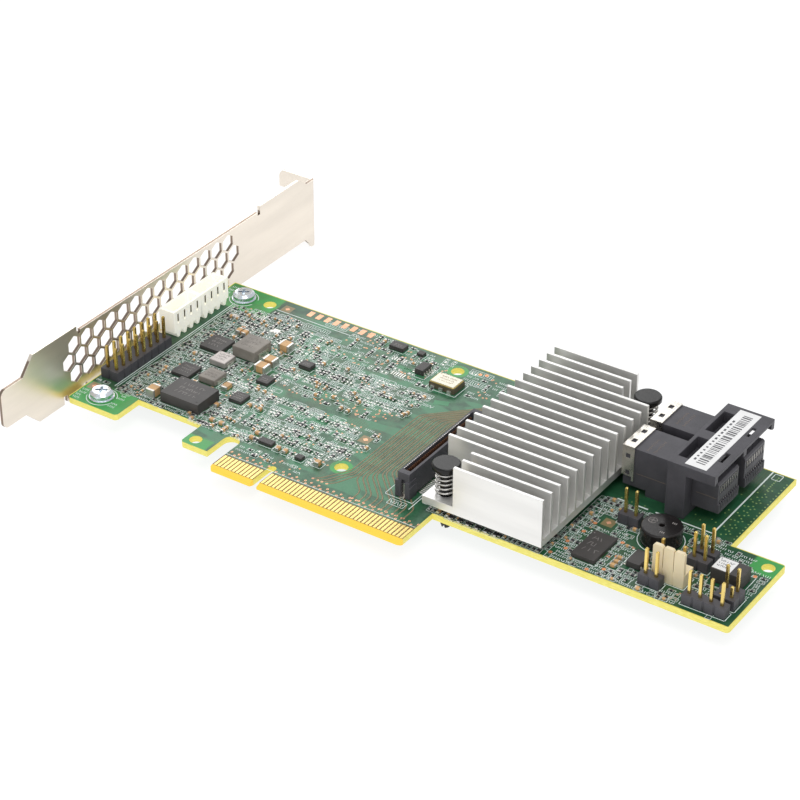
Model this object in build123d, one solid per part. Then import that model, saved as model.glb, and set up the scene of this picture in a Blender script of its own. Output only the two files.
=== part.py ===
"""Storage controller card: board, bracket, heat sink, far-end cable ports and headers.

X runs along the card from the bracket to the far end, Y from the edge fingers to the top edge and
Z out of the component side.  X = 0 is the centre line of the key notch, Y = 0 the tip of the
fingers and Z = 0 the component face.  All sizes are in millimetres.
"""

import os

from build123d import *

os.makedirs("parts", exist_ok=True)

# Edge fingers: two groups of gold contacts either side of the key notch
finger_pitch = 1.0
finger_wide = 0.7
finger_long = 4.3
finger_thick = 0.05
short_count = 11
long_count = 38
key_side = 1.5             # key centre line to the nearest finger's centre line
key_wide = 1.9
key_high = 8.2
finger_margin_left = 0.7   # last finger's centre line to the end of the tongue
finger_margin_right = 0.5
bevel_long = 1.3
bevel_deep = 0.45

# Board outline, read outward from the fingers
board_thick = 1.57
body_low = 12.8            # lower edge of the wide part
relief_wide = 4.1          # slot between the hook and the fingers
hook_wide = 7.6
hook_low = 4.6
recess_wide = 18.7
tongue_wide = 14.55
corner_round = 0.9
corner_cut = 0.6
lobe_wide = 12.8
lobe_high = 25.9           # from the lower edge to the top of the far lobe
far_margin = 0.7           # board's far end to the line that the far parts are placed from

# Holes in the board
tool_hole_r = 1.6
lobe_hole_r = 1.5
screw_hole_r = 1.6
pin_hole_r = 1.55

# Mounting bracket: one punched and folded sheet
sheet = 0.86
board_gap = 1.15           # board edge to the bracket's inner face
strip_high = 18.35
strip_sag = 0.37           # how far the strip hangs below the ears
bracket_low = -15.8
bracket_high = 105.09
tail_narrow = 3.9
tab_long = 10.9
tab_slot_wide = 4.4
tab_slot_deep = 5.0
tab_drop = 3.1             # the neck and tab reach this far below the strip
lip_deep = 1.38
lip_inset = 1.4            # folded lip below the strip's top edge
lip_start = 12.0
lip_end = 80.5
ear_wide = 6.2
ear_long = 11.8
ear_relief = 1.1
vent_flats = 4.0
vent_pitch = 4.5
vent_row_step = 3.9
vent_count = 15

# Bracket screws
screw_r = 1.5
screw_head_r = 2.75
screw_flange_r = 3.05
screw_head_high = 2.0
screw_in = 6.7             # from the board's bracket end
screw_low = 4.4            # above the tongue's lower edge
screw_top = 5.2            # below the board's top edge

# Slot connector beside the sink
slot_x = 28.85
slot_low = 1.6
slot_wide = 3.0
slot_long = 30.6
slot_high = 6.3
slot_wall = 0.65
slot_end = 1.5
slot_lead_pitch = 0.635
slot_lead_margin = 6.4     # length without leads at the two ends

# Heat sink, its pins and the chip below it
slot_to_sink = 4.75
sink_long = 30.2
sink_overhang = 0.6        # beyond the board's lower edge
sink_top_gap = 1.3         # to the board's top edge
sink_base_low = 2.3
sink_base_thick = 1.9
sink_high = 14.3
fin_count = 17
fin_thick = 0.8
cut_fins = 3
near_cut = 7.9
far_cut = 8.4
pin_inset = 3.8
chip_side = 27.0
chip_thick = 2.0
pin_cap_r = 3.2
pin_cap_thick = 1.2
pin_collar_r = 2.5
pin_collar_thick = 0.6
pin_shaft_r = 1.35
pin_top = 12.1
pin_barb_r = 1.9
pin_barb_long = 2.9
spring_wire = 0.52
spring_turns = 5
spring_steps = 8           # straight steps in each turn

# Far-end cable ports
sink_to_port = 1.05
port_shield = 0.3
shield_long = 3.0
port_body_long = 12.55     # shield's back to the cross body
port_cross = 4.6
port_front = 6.95          # cross body to the hood's front edge
port_wide = 27.55
port_pitch = 12.1
port_block_wide = 9.2
port_high = 13.7
port_back_high = 11.4
shield_high = 11.75
hood_thick = 0.8
tower_low = 2.3
tower_high = 9.9
tower_slots = 10
port_to_step = 6.45        # hood's front edge to the step in the board
port_edge = 0.2            # ports to the board's top edge

# Headers, all with square posts
post_pitch = 2.54
post_side = 0.64
post_tip = 0.2
header_base = 2.54
header_top = 8.4
far_top = 8.9
front_top = 8.3
corner_gap = 1.0           # front row's base to the corner base
post_tail = 1.4            # below the board
io_rows = 8
io_inset = 0.87            # board's end to the header's base
io_share = 0.574           # share of the free height that lies below the header
wafer_places = 4
wafer_pitch = 2.5
wafer_side = 0.3
wafer_deep = 4.5
wafer_high = 7.1
wafer_foot = 1.4

# Buzzer, which sets how high the ports sit
buzzer_r = 4.6
buzzer_high = 4.0
buzzer_up = 19.1           # above the board's lower edge
buzzer_to_port = 4.65

# Places that follow from the sizes above
finger_left = -(key_side + (short_count - 1) * finger_pitch + finger_margin_left)
finger_right = key_side + (long_count - 1) * finger_pitch + finger_margin_right
hook_right = finger_left - relief_wide
hook_left = hook_right - hook_wide
board_left = hook_left - recess_wide - tongue_wide
sink_left = slot_x + slot_wide + slot_to_sink
sink_right = sink_left + sink_long
port_back = sink_right + sink_to_port
cross_x = port_back + port_body_long
port_face = cross_x + port_cross
port_x = port_face + port_front
step_x = port_x + port_to_step
board_right = step_x + lobe_wide
far_end = board_right - far_margin
lobe_top = body_low + lobe_high
buzzer_y = body_low + buzzer_up
port_low = buzzer_y + buzzer_r + buzzer_to_port
port_top = port_low + port_wide
board_top = port_top + port_edge
sink_low = body_low - sink_overhang
sink_top = board_top - sink_top_gap
slot_y = body_low + slot_low
inner_face = board_left - board_gap
outer_face = inner_face - sheet
under = -board_thick
screw_x = board_left + screw_in
screw_places = [(screw_x, hook_low + screw_low), (screw_x, board_top - screw_top)]
pin_places = [
    (sink_left + pin_inset, sink_low + pin_inset),
    (sink_right - pin_inset, sink_top - pin_inset),
]


def block(x0, x1, y0, y1, z0, z1):
    """A box between two corners."""
    corner = (Align.MIN, Align.MIN, Align.MIN)
    return Pos(x0, y0, z0) * Box(x1 - x0, y1 - y0, z1 - z0, align=corner)


def rect(x0, x1, y0, y1):
    """A flat rectangle between two corners."""
    return Pos((x0 + x1) / 2, (y0 + y1) / 2) * Rectangle(x1 - x0, y1 - y0)


def rod(x, y, radius, z0, z1):
    """A round rod along Z."""
    return Pos(x, y, (z0 + z1) / 2) * Cylinder(radius, z1 - z0)


def sided(x, y, radius, z0, z1, sides=12):
    """A many-sided rod along Z, for round pieces that are small or hidden."""
    return Pos(x, y, z0) * extrude(RegularPolygon(radius, sides), z1 - z0)


def turned(points):
    """A solid of revolution about Z from a half outline of (radius, z) points."""
    return revolve(make_face(Plane.XZ * Polyline(*points, close=True)), Axis.Z)


def save(shape, name):
    """One STEP file for one named piece or group of like pieces."""
    if isinstance(shape, list):
        shape = Compound(shape)
    export_step(shape, f"parts/{name}.step")


def grid(x, y, columns, rows, pitch=post_pitch):
    """Places of a grid that starts at (x, y)."""
    return [(x + i * pitch, y + j * pitch) for j in range(rows) for i in range(columns)]


# Post places of every header, as (x, y)
wafer_long = wafer_places * wafer_pitch + 2 * wafer_side
wafer_x = board_left + 0.15
wafer_ends = board_top - screw_top - screw_flange_r - 0.55
wafer_lows = [wafer_ends - 2 * wafer_long, wafer_ends - wafer_long]
io_floor = hook_low + screw_low + screw_flange_r
io_free = wafer_lows[0] - io_floor - io_rows * post_pitch
io_low = io_floor + io_share * io_free
io_posts = grid(board_left + io_inset + post_pitch / 2, io_low + post_pitch / 2, 2, io_rows)
wafer_posts = [
    (wafer_x + 0.62 * wafer_deep, low + wafer_side + (k + 0.5) * wafer_pitch)
    for low in wafer_lows
    for k in range(wafer_places)
]
pair_posts = grid(far_end - 35.5, buzzer_y + 1.8, 2, 1)
twin_low_posts = grid(far_end - 15.5, buzzer_y - 4.2, 2, 1)
twin_high_posts = grid(far_end - 15.5, buzzer_y - 0.9, 2, 1)
front_pair_posts = grid(far_end - 21.1, body_low + 4.1, 2, 1)
front_row_posts = grid(far_end - 10.2, body_low + 3.0, 4, 1)
corner_posts = grid(far_end - 9.9 + 2 * post_pitch, body_low + 3.0 + post_pitch + corner_gap, 2, 2)
far_headers = [pair_posts, twin_low_posts, twin_high_posts, front_pair_posts, front_row_posts, corner_posts]
key_x = far_end - 20.96
key_y = body_low + 6.3
key_posts = [(key_x + (k + 0.5) * post_pitch, key_y + 2.2) for k in (0, 2)]


def circuit_board():
    """Glass-epoxy board with its hook, key notch, lobe, bevel and holes."""
    low = body_low
    outline = rect(board_left, board_right, low, lobe_top)
    outline += rect(board_left, step_x, low, board_top)
    outline += rect(board_left, board_left + tongue_wide, hook_low, low + 2)
    outline += rect(hook_left, finger_left, hook_low, low + 2)
    outline += rect(finger_left, finger_right, 0, low + 2)
    outline = fillet([v for v in outline.vertices() if v.X > step_x + 0.1], corner_round)
    outline = chamfer([v for v in outline.vertices() if v.Y < low - 0.1], corner_cut)
    relief_r = relief_wide / 2
    relief_x = finger_left - relief_r
    outline -= rect(hook_right, finger_left, -1, low - relief_r)
    outline -= Pos(relief_x, low - relief_r) * Circle(relief_r)
    outline -= rect(-key_wide / 2, key_wide / 2, -1, key_high - key_wide / 2)
    outline -= Pos(0, key_high - key_wide / 2) * Circle(key_wide / 2)
    board = extrude(outline, -board_thick)

    holes = [(12.4, low + 3.5, tool_hole_r), (11.8, board_top - 4.15, tool_hole_r)]
    holes += [(board_left + 13.85, board_top - 4.1, tool_hole_r)]
    holes += [(far_end - 2.1, body_low + 23.0, lobe_hole_r)]
    holes += [(hook_left + 2.6, hook_low + 2.4, lobe_hole_r)]
    holes += [(x, y, screw_hole_r) for x, y in screw_places]
    board -= [sided(x, y, r, under - 1, 1, 24) for x, y, r in holes]
    board -= [sided(x, y, pin_hole_r, under - 1, 1) for x, y in pin_places]

    half = post_side / 2
    posts = io_posts + wafer_posts + sum(far_headers, []) + key_posts
    board -= [block(x - half, x + half, y - half, y + half, under - 1, 1) for x, y in posts]

    for face, sign in ((0, -1), (under, 1)):
        wedge = Polyline(
            (bevel_long, face),
            (0, face + sign * bevel_deep),
            (-1, face + sign * bevel_deep),
            (-1, face - sign),
            (bevel_long, face - sign),
            close=True,
        )
        prism = extrude(Plane.YZ * make_face(wedge), finger_right - finger_left + 2)
        board -= Pos(finger_left - 1, 0, 0) * prism
    return board


def edge_contacts():
    """Gold fingers on both faces."""
    half = finger_wide / 2
    centres = [-key_side - k * finger_pitch for k in range(short_count)]
    centres += [key_side + k * finger_pitch for k in range(long_count)]
    low = bevel_long
    high = bevel_long + finger_long
    pads = []
    for x in centres:
        pads.append(block(x - half, x + half, low, high, 0, finger_thick))
        pads.append(block(x - half, x + half, low, high, under - finger_thick, under))
    return pads


def mounting_bracket():
    """Vented strip, tail, folded lip, two ears under the board and the slotted tab."""
    low = under - sheet - strip_sag
    high = low + strip_high
    tail_low = low + tail_narrow + 0.2
    tail_high = high - tail_narrow - 0.35
    neck = bracket_high - 3.6
    strip = Polyline(
        (bracket_low + 7.5, tail_low),
        (bracket_low + 7.5, tail_high),
        (bracket_low + 11.3, high),
        (neck - 3.5, high),
        (neck, high - 2.4),
        (neck + 1, high - 2.4),
        (neck + 1, low - 2.2),
        (neck - 1, low),
        (bracket_low + 11.8, low),
        close=True,
    )
    flat = make_face(strip)
    flat += Pos(bracket_low + 5, (tail_low + tail_high) / 2) * RectangleRounded(10, tail_high - tail_low, 1.6)
    flat -= rect(lip_start - 1.3, lip_end + 1, high - lip_inset, high + 1)
    flat -= rect(lip_start - 0.9, lip_start, high - lip_inset - sheet, high + 1)
    flat -= rect(lip_end, lip_end + 1, high - lip_inset - sheet, high + 1)
    ears = []
    for x, y in screw_places:
        side = ear_wide / 2
        flat -= rect(y - side - ear_relief, y - side, low - 1, under + 0.87)
        flat -= rect(y + side, y + side + ear_relief, low - 1, under + 0.87)
        flat -= rect(y - side, y + side, low - 1, under - sheet)
        ear = block(inner_face, inner_face + ear_long, y - side, y + side, under - sheet, under)
        ear = chamfer(ear.edges().filter_by(Axis.Z).group_by(Axis.X)[-1], 1.0)
        ears.append(ear - sided(x, y, screw_r, under - 3, 1))

    row_mid = (low + high) / 2 + 0.85
    middle = (lip_start + lip_end) / 2 - 7.4
    for row, count in ((-1, vent_count - 1), (0, vent_count), (1, vent_count - 1)):
        start = middle - (count - 1) * vent_pitch / 2
        for k in range(count):
            vent = RegularPolygon(vent_flats / 2, 6, major_radius=False, rotation=30)
            flat -= Pos(start + k * vent_pitch, row_mid + row * vent_row_step) * vent

    plate = extrude(Plane.YZ * flat, sheet)
    bracket = Pos(outer_face, 0, 0) * plate
    lip = block(inner_face - lip_deep, inner_face, lip_start, lip_end, high - lip_inset - sheet, high - lip_inset)
    lip = chamfer(lip.edges().filter_by(Axis.Z).group_by(Axis.X)[0], 0.9)
    bracket += lip
    bracket += ears

    far = inner_face - tab_long
    bend = rect(outer_face, inner_face, neck, bracket_high)
    bend += rect(far, inner_face, bracket_high - sheet, bracket_high)
    bend = fillet(bend.vertices().group_by(Axis.Y)[-1].sort_by(Axis.X)[-1], 1.2)
    inside = [v for v in bend.vertices() if abs(v.X - outer_face) < 0.01 and abs(v.Y - bracket_high + sheet) < 0.01]
    bend = fillet(inside, 0.4)
    tab_low = low - tab_drop
    tab_high = high - 2.4
    tab = Pos(0, 0, tab_low) * extrude(bend, tab_high - tab_low)
    tab = fillet(tab.edges().filter_by(Axis.Y).group_by(Axis.X)[0], 2.0)
    mouth = (low + high) / 2 - 0.3
    half = tab_slot_wide / 2
    deep = far + tab_slot_deep - half
    tab -= block(far - 1, deep, bracket_high - 3, bracket_high + 1, mouth - half, mouth + half)
    tab -= Pos(deep, bracket_high, mouth) * Rot(90, 0, 0) * Cylinder(half, 6)
    corner = make_face(Polyline((neck, low), (neck, low - 4), (neck + 2, low - 4), close=True))
    tab -= Pos(outer_face - 1, 0, 0) * extrude(Plane.YZ * corner, sheet + 2)
    return bracket + tab


def bracket_screws():
    """Pan-head cross-recess screws through the board into the ears."""
    screws = []
    for x, y in screw_places:
        dome = sided(0, 0, screw_head_r, 0.2, screw_head_high, 24)
        dome = chamfer(dome.faces().sort_by(Axis.Z)[-1].edges(), 0.6)
        head = sided(0, 0, screw_flange_r, 0, 0.4, 24) + dome
        slot = Box(2.8, 0.6, 2.2) + Box(0.6, 2.8, 2.2)
        head -= Pos(0, 0, screw_head_high) * Rot(0, 0, 30) * slot
        shank = sided(0, 0, screw_r, under - sheet - 1.2, 0)
        screws.append(Pos(x, y, 0) * (head + shank))
    return screws


def controller_chip():
    """Flip-chip package under the sink: a substrate with a raised lid."""
    x = (sink_left + sink_right) / 2
    y = (sink_low + sink_top) / 2
    side = chip_side / 2
    lid = side - 1.2
    body = block(x - side, x + side, y - side, y + side, 0, chip_thick * 0.55)
    return body + block(x - lid, x + lid, y - lid, y + lid, chip_thick * 0.55, chip_thick)


def thermal_pad():
    """Soft pad between the chip's lid and the sink."""
    x = (sink_left + sink_right) / 2
    y = (sink_low + sink_top) / 2
    side = chip_side / 2 - 1.6
    return block(x - side, x + side, y - side, y + side, chip_thick, sink_base_low)


def heat_sink():
    """Extruded sink whose fins stop short at the two push pin corners."""
    base_top = sink_base_low + sink_base_thick
    sink = block(sink_left, sink_right, sink_low, sink_top, sink_base_low, base_top)
    pitch = (sink_top - sink_low - fin_thick) / (fin_count - 1)
    fins = []
    for k in range(fin_count):
        start = sink_left + near_cut if k < cut_fins else sink_left
        stop = sink_right - far_cut if k >= fin_count - cut_fins else sink_right
        y = sink_low + k * pitch
        fins.append(block(start, stop, y, y + fin_thick, base_top, sink_high))
    sink += fins
    sink -= [sided(x, y, pin_shaft_r + 0.35, 0, base_top + 1) for x, y in pin_places]
    return sink


def push_pins():
    """Black plastic pins: cap, collar, shaft and a split barb below the board."""
    cap_low = pin_top - pin_cap_thick
    collar_low = cap_low - pin_collar_thick
    pins = []
    for x, y in pin_places:
        cap = turned([
            (0, cap_low),
            (pin_cap_r, cap_low),
            (pin_cap_r, pin_top - 0.3),
            (pin_cap_r - 0.3, pin_top),
            (0, pin_top),
        ])
        pin = cap + sided(0, 0, pin_collar_r, collar_low, cap_low)
        pin += sided(0, 0, pin_shaft_r, under, collar_low)
        wide = Pos(0, 0, under) * RegularPolygon(pin_barb_r, 12)
        narrow = Pos(0, 0, under - pin_barb_long) * RegularPolygon(pin_shaft_r - 0.35, 12)
        pin += loft([wide, narrow])
        pin -= block(-0.3, 0.3, -4, 4, under - pin_barb_long - 1, under - 0.4)
        pins.append(Pos(x, y, 0) * pin)
    return pins


def push_pin_springs():
    """Coil springs between the sink's base and the collars."""
    low = sink_base_low + sink_base_thick
    high = pin_top - pin_cap_thick - pin_collar_thick
    radius = pin_collar_r - spring_wire / 2
    count = spring_turns * spring_steps
    rise = (high - low - spring_wire) / count
    corners = []
    for k in range(count + 1):
        at = low + spring_wire / 2 + k * rise
        corners.append(Pos(0, 0, at) * Rot(0, 0, 360 * k / spring_steps) * Pos(radius, 0, 0))
    path = Polyline(*[corner.position for corner in corners])
    section = Plane(path @ 0, z_dir=path % 0) * Rectangle(0.8 * spring_wire, 0.8 * spring_wire)
    coil = sweep(section, path=path, transition=Transition.RIGHT)
    return [Pos(x, y, 0) * coil for x, y in pin_places]


def port_centres():
    """Middle lines of the two cable ports."""
    middle = port_low + port_wide / 2
    return [middle - port_pitch / 2, middle + port_pitch / 2]


def port_housing():
    """Cross body, two rear blocks and the hood with its latch windows and front legs."""
    back = port_back + port_shield
    housing = block(cross_x, port_face, port_low, port_top, 0, port_high)
    hood_low = port_high - hood_thick
    housing += block(port_face, port_x, port_low, port_top, hood_low, port_high)
    for side in (port_low, port_top - hood_thick):
        housing += block(port_face, port_x, side, side + hood_thick, port_high - 2.5, hood_low)
    for leg in (port_low, (port_low + port_top) / 2 - 0.7, port_top - 1.4):
        housing += block(port_x - 1.1, port_x, leg, leg + 1.4, port_high - 2.2, hood_low)
    for y in port_centres():
        half = port_block_wide / 2
        housing += block(back, cross_x, y - half, y + half, 1.5, port_back_high)
        housing += block(back + 5.7, cross_x - 1.4, y - half, y + half, 0, 1.5)
        housing -= block(cross_x + 0.9, port_face - 0.8, y - half, y + half - 0.3, port_high - 3.0, port_high + 1)
        housing -= block(port_x - 2.45, port_x - 1.45, y - 1.95, y + 1.95, hood_low - 1, port_high + 1)
        for k in range(3):
            z = 3.2 + 2.4 * k
            housing -= block(back - 1, back + 1.2, y - half + 0.8, y + half - 0.8, z, z + 1.2)
    return housing


def tower_slot_places(y):
    """Centre lines of the comb slots of one tower."""
    step = (port_block_wide - 1.6) / (tower_slots - 1)
    start = y - (port_block_wide - 1.6) / 2
    return [start + k * step for k in range(tower_slots)]


def port_towers():
    """Contact towers with two rows of comb slots in the front face."""
    front = port_x - 0.15
    towers = []
    for y in port_centres():
        half = port_block_wide / 2
        tower = block(port_face, front - 0.35, y - half, y + half, tower_low, tower_high)
        tower += block(front - 0.35, front, y - half, y + half, tower_low, (tower_low + tower_high) / 2 - 1.5)
        tower = chamfer(tower.faces().sort_by(Axis.Z)[-1].edges().sort_by(Axis.X)[-1], 0.4)
        combs = []
        for place in tower_slot_places(y):
            for z in (tower_low + 0.7, tower_high - 3.2):
                combs.append(block(front - 2.4, front + 1, place - 0.15, place + 0.15, z, z + 2.3))
        towers.append(tower - combs)
    return towers


def port_contacts():
    """Blades at the back of every comb slot."""
    front = port_x - 0.15
    blades = []
    for y in port_centres():
        for place in tower_slot_places(y):
            for z in (tower_low + 0.7, tower_high - 3.2):
                blades.append(block(front - 2.4, front - 0.9, place - 0.15, place + 0.15, z, z + 0.5))
    return blades


def port_shields():
    """Bent tin plates over the back end of each rear block."""
    back = port_back
    top = shield_high
    end = back + shield_long
    shields = []
    for y in port_centres():
        half = port_block_wide / 2
        near = y - half - port_shield
        plate = block(back, end, near, y + half, top - port_shield, top)
        plate += block(back, end, near, y - half, 4.0, top)
        plate += block(end - 0.5, end, near, y - half, 2.9, 4.0)
        plate += block(back, back + port_shield, near, y + half, 4.0, top)
        for dy in (2.0, 6.3):
            plate -= block(back + 0.9, back + 2.0, near + dy, near + dy + 1.4, top - 1, top + 1)
        for dz in (2.0, 6.3):
            plate -= block(back + 0.9, back + 2.0, near - 1, y - half, top - dz - 1.2, top - dz)
        shields.append(plate)
    return shields


def port_label():
    """Sticker across the hood."""
    return block(cross_x + 3.6, port_x - 2.75, port_low + 1.05, port_top - 1.0, port_high, port_high + 0.08)


def slot_housing():
    """Long slot connector with lower end blocks split by their board locks."""
    x0 = slot_x
    x1 = slot_x + slot_wide
    y1 = slot_y + slot_long
    housing = block(x0, x1, slot_y, y1, 0.25, slot_high)
    housing -= block(x0 + slot_wall, x1 - slot_wall, slot_y + slot_end, y1 - slot_end, 1.0, slot_high + 1)
    for low in (slot_y - 0.4, y1 - 2.9):
        foot = block(x0 - 0.5, x1 + 0.35, low, low + 2.9, 0, 3.0)
        foot += block(x0 - 0.5, x1 + 0.2, low, low + 2.9, 3.0, 4.2)
        foot -= block(x0 + slot_wall, x1 - slot_wall, slot_y + slot_end, y1 - slot_end, 1.0, slot_high + 1)
        housing += foot
    mid = (x0 + x1) / 2
    housing -= block(mid - 0.5, mid + 0.5, slot_y - 1, slot_y + 0.6, -1, 4.5)
    return housing


def slot_locks():
    """Tin board lock in the near end block."""
    mid = slot_x + slot_wide / 2
    lock = block(mid - 0.5, mid + 0.5, slot_y + 0.3, slot_y + 0.6, 0, 3.4)
    return lock + block(mid - 0.5, mid + 0.5, slot_y - 0.7, slot_y + 0.3, 0, 0.3)


def slot_contacts():
    """Rows of surface leads on both sides of the slot connector."""
    count = int((slot_long - slot_lead_margin) / slot_lead_pitch)
    start = slot_y + slot_long / 2 - (count - 1) * slot_lead_pitch / 2 - 0.1
    leads = []
    for k in range(count):
        y = start + k * slot_lead_pitch
        for edge, way in ((slot_x, -1), (slot_x + slot_wide, 1)):
            foot = sorted((edge, edge + way * 0.75))
            leads.append(block(foot[0], foot[1], y - 0.12, y + 0.12, 0, 0.3))
    return leads


def post(z0, z1):
    """One square post with a pointed upper end."""
    body = Pos(0, 0, (z0 + z1) / 2) * Box(post_side, post_side, z1 - z0)
    return chamfer(body.faces().sort_by(Axis.Z)[-1].edges(), post_tip)


def header(posts):
    """Moulded base of one header: a square cell round every post, notched between cells."""
    half = post_pitch / 2
    xs = [x for x, y in posts]
    ys = [y for x, y in posts]
    left, right = min(xs) - half, max(xs) + half
    low, high = min(ys) - half, max(ys) + half
    base = block(left, right, low, high, 0, header_base)
    notch = Rot(0, 0, 45) * Box(0.45, 0.45, 2 * header_base + 2)
    columns = round((right - left) / post_pitch)
    rows = round((high - low) / post_pitch)
    cuts = []
    for i in range(1, columns):
        cuts += [Pos(left + i * post_pitch, edge, 0) * notch for edge in (low, high)]
    for j in range(1, rows):
        cuts += [Pos(edge, low + j * post_pitch, 0) * notch for edge in (left, right)]
    base -= cuts
    side = post_side / 2
    base -= [block(x - side, x + side, y - side, y + side, -1, header_base + 1) for x, y in posts]
    return base


def io_header_base():
    """Two-row base beside the bracket."""
    return header(io_posts)


def io_header_posts():
    """Gold posts of the header beside the bracket."""
    pin = post(under - post_tail, header_top)
    return [Pos(x, y, 0) * pin for x, y in io_posts]


def far_header_bases():
    """Bases of the small headers at the far end."""
    return [header(posts) for posts in far_headers]


def far_header_posts():
    """Gold posts of the far-end headers; the corner block has one short and one absent post."""
    tall = post(under - post_tail, far_top)
    lower = post(under - post_tail, front_top)
    short = post(under - post_tail, 5.3)
    pins = [Pos(x, y, 0) * tall for x, y in sum(far_headers[:-2], [])]
    pins += [Pos(x, y, 0) * lower for x, y in front_row_posts + corner_posts[2:]]
    pins.append(Pos(*corner_posts[1], 0) * short)
    pins.append(Pos(*corner_posts[0], 0) * post(under - post_tail, header_base))
    return pins


def key_header_housing():
    """Cream header with a lock wall in three tongues and a low base behind it."""
    wide = 3 * post_pitch
    base = block(key_x, key_x + wide, key_y, key_y + 4.2, 0, 3.2)
    for k in range(3):
        left = key_x + k * post_pitch + 0.07
        right = left + post_pitch - 0.14
        tongue = block(left, right, key_y - 0.05, key_y + 0.85, 0, 8.8)
        base += chamfer(tongue.edges().filter_by(Axis.Y).group_by(Axis.Z)[-1], 0.4)
    side = post_side / 2
    base -= [block(x - side, x + side, y - side, y + side, -1, 4) for x, y in key_posts]
    return base


def key_header_posts():
    """Two posts of the cream header; its middle place is empty."""
    pin = post(under - post_tail, 9.3)
    return [Pos(x, y, 0) * pin for x, y in key_posts]


def wafer_housings():
    """White four-way wafer housings with pointed feet and a slot for every post."""
    housings = []
    side = post_side / 2
    for low in wafer_lows:
        x0 = wafer_x
        x1 = wafer_x + wafer_deep
        body = block(x0, x1, low, low + wafer_long, wafer_foot, wafer_high)
        body -= block(x0 + 0.7, x1 - 0.7, low + 0.7, low + wafer_long - 0.7, 2.6, wafer_high + 1)
        for k in range(wafer_places):
            y = low + wafer_side + (k + 0.5) * wafer_pitch
            body -= block(x1 - 1, x1 + 1, y - 0.22, y + 0.22, 3.6, 6.0)
            tooth = Polyline((y - 0.9, wafer_foot), (y + 0.9, wafer_foot), (y + 0.35, 0), (y - 0.35, 0), close=True)
            body += Pos(x0 + 0.4, 0, 0) * extrude(Plane.YZ * make_face(tooth), wafer_deep - 0.4)
            post_x = wafer_x + 0.62 * wafer_deep
            body -= block(post_x - side, post_x + side, y - side, y + side, -1, 4)
        housings.append(body)
    return housings


def wafer_pins():
    """Tin posts of the wafer connectors."""
    pin = post(under - post_tail, wafer_high - 0.9)
    return [Pos(x, y, 0) * pin for x, y in wafer_posts]


def buzzer():
    """Round buzzer with a sound hole."""
    body = turned([
        (0, 0),
        (buzzer_r, 0),
        (buzzer_r, buzzer_high - 0.25),
        (buzzer_r - 0.25, buzzer_high),
        (0, buzzer_high),
    ])
    body -= sided(0, 0, 0.6, buzzer_high - 1.5, buzzer_high + 1)
    return Pos(far_end - 25.65, buzzer_y, 0) * body


def package(x, y, wide, deep, high, stand=0.0):
    """A moulded package centred on (x, y)."""
    return block(x - wide / 2, x + wide / 2, y - deep / 2, y + deep / 2, stand, stand + high)


def power_module():
    """Large moulded power module with a pin-one dot."""
    body = package(board_left + 24.6, body_low + 6.45, 10.9, 8.1, 2.7)
    return body - sided(board_left + 29.2, body_low + 3.2, 0.25, 2.65, 3, 8)


def power_chips():
    """Two flat square packages beside the inductors."""
    chips = [package(board_left + 15.05, body_low + 29.3, 6.0, 6.2, 0.9)]
    chips.append(package(board_left + 16.25, body_low + 15.75, 5.0, 5.3, 0.9))
    return chips


def logic_chips():
    """Small packages spread over the board."""
    chips = [package(board_left + 34.3, body_low + 22.7, 3.3, 3.2, 0.9)]
    chips.append(package(board_left + 33.85, body_low + 13.15, 3.6, 3.7, 0.9))
    chips.append(package(board_left + 38.55, body_low + 33.4, 3.3, 2.5, 1.1))
    chips.append(package(-5.5, board_top - 3.4, 4.0, 2.5, 1.1))
    chips.append(package(0.7, board_top - 2.9, 1.8, 1.6, 0.8))
    chips.append(package(-7.0, body_low + 1.9, 3.7, 1.8, 0.8))
    chips.append(package(2.8, body_low + 0.95, 1.8, 1.6, 0.8))
    return chips


def memory_chip():
    """Flat memory package beside the heat sink."""
    return package(far_end - 35.85, body_low + 8.3, 5.7, 10.0, 1.0)


eight_lead_places = [(5.05, board_top - 8.75, 2.3, 3.9), (far_end - 25.6, body_low + 9.25, 3.2, 5.1)]


def eight_lead_chips():
    """Two moulded chips with four leads a side."""
    return [package(x, y, wide, deep, 1.4, 0.12) for x, y, wide, deep in eight_lead_places]


def eight_lead_legs():
    """Gull leads of the eight-lead chips."""
    legs = []
    for x, y, wide, deep in eight_lead_places:
        pitch = (deep - 1.1) / 3
        for k in range(4):
            place = y - 1.5 * pitch + k * pitch
            for way in (-1, 1):
                near = x + way * wide / 2
                foot = sorted((near, near + way * 0.9))
                riser = sorted((near, near + way * 0.3))
                leg = block(foot[0], foot[1], place - 0.2, place + 0.2, 0, 0.15)
                legs.append(leg + block(riser[0], riser[1], place - 0.2, place + 0.2, 0.15, 0.8))
    return legs


def clock_module():
    """Sealed timekeeping module with its thick moulded body."""
    x = far_end - 6.65
    y = body_low + 14.5
    body = package(x, y, 7.1, 4.8, 3.4, 0.1)
    for way in (-1, 1):
        for k in range(4):
            place = x - 2.4 + 1.6 * k
            edge = y + way * 2.4
            foot = sorted((edge, edge + way * 0.8))
            body += block(place - 0.25, place + 0.25, foot[0], foot[1], 0, 0.2)
            body += block(place - 0.25, place + 0.25, min(edge, edge - way), max(edge, edge - way), 0, 0.2)
    return body


def clock_label():
    """White sticker on the timekeeping module."""
    return package(far_end - 8.0, body_low + 14.5, 4.2, 4.3, 0.06, 3.5)


def oscillator_case():
    """Ceramic case of the oscillator."""
    return package(13.3, board_top - 11.15, 7.0, 4.9, 1.45)


def oscillator_lid():
    """Plated lid of the oscillator."""
    return package(13.3, board_top - 11.15, 6.3, 4.2, 0.35, 1.45)


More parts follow.
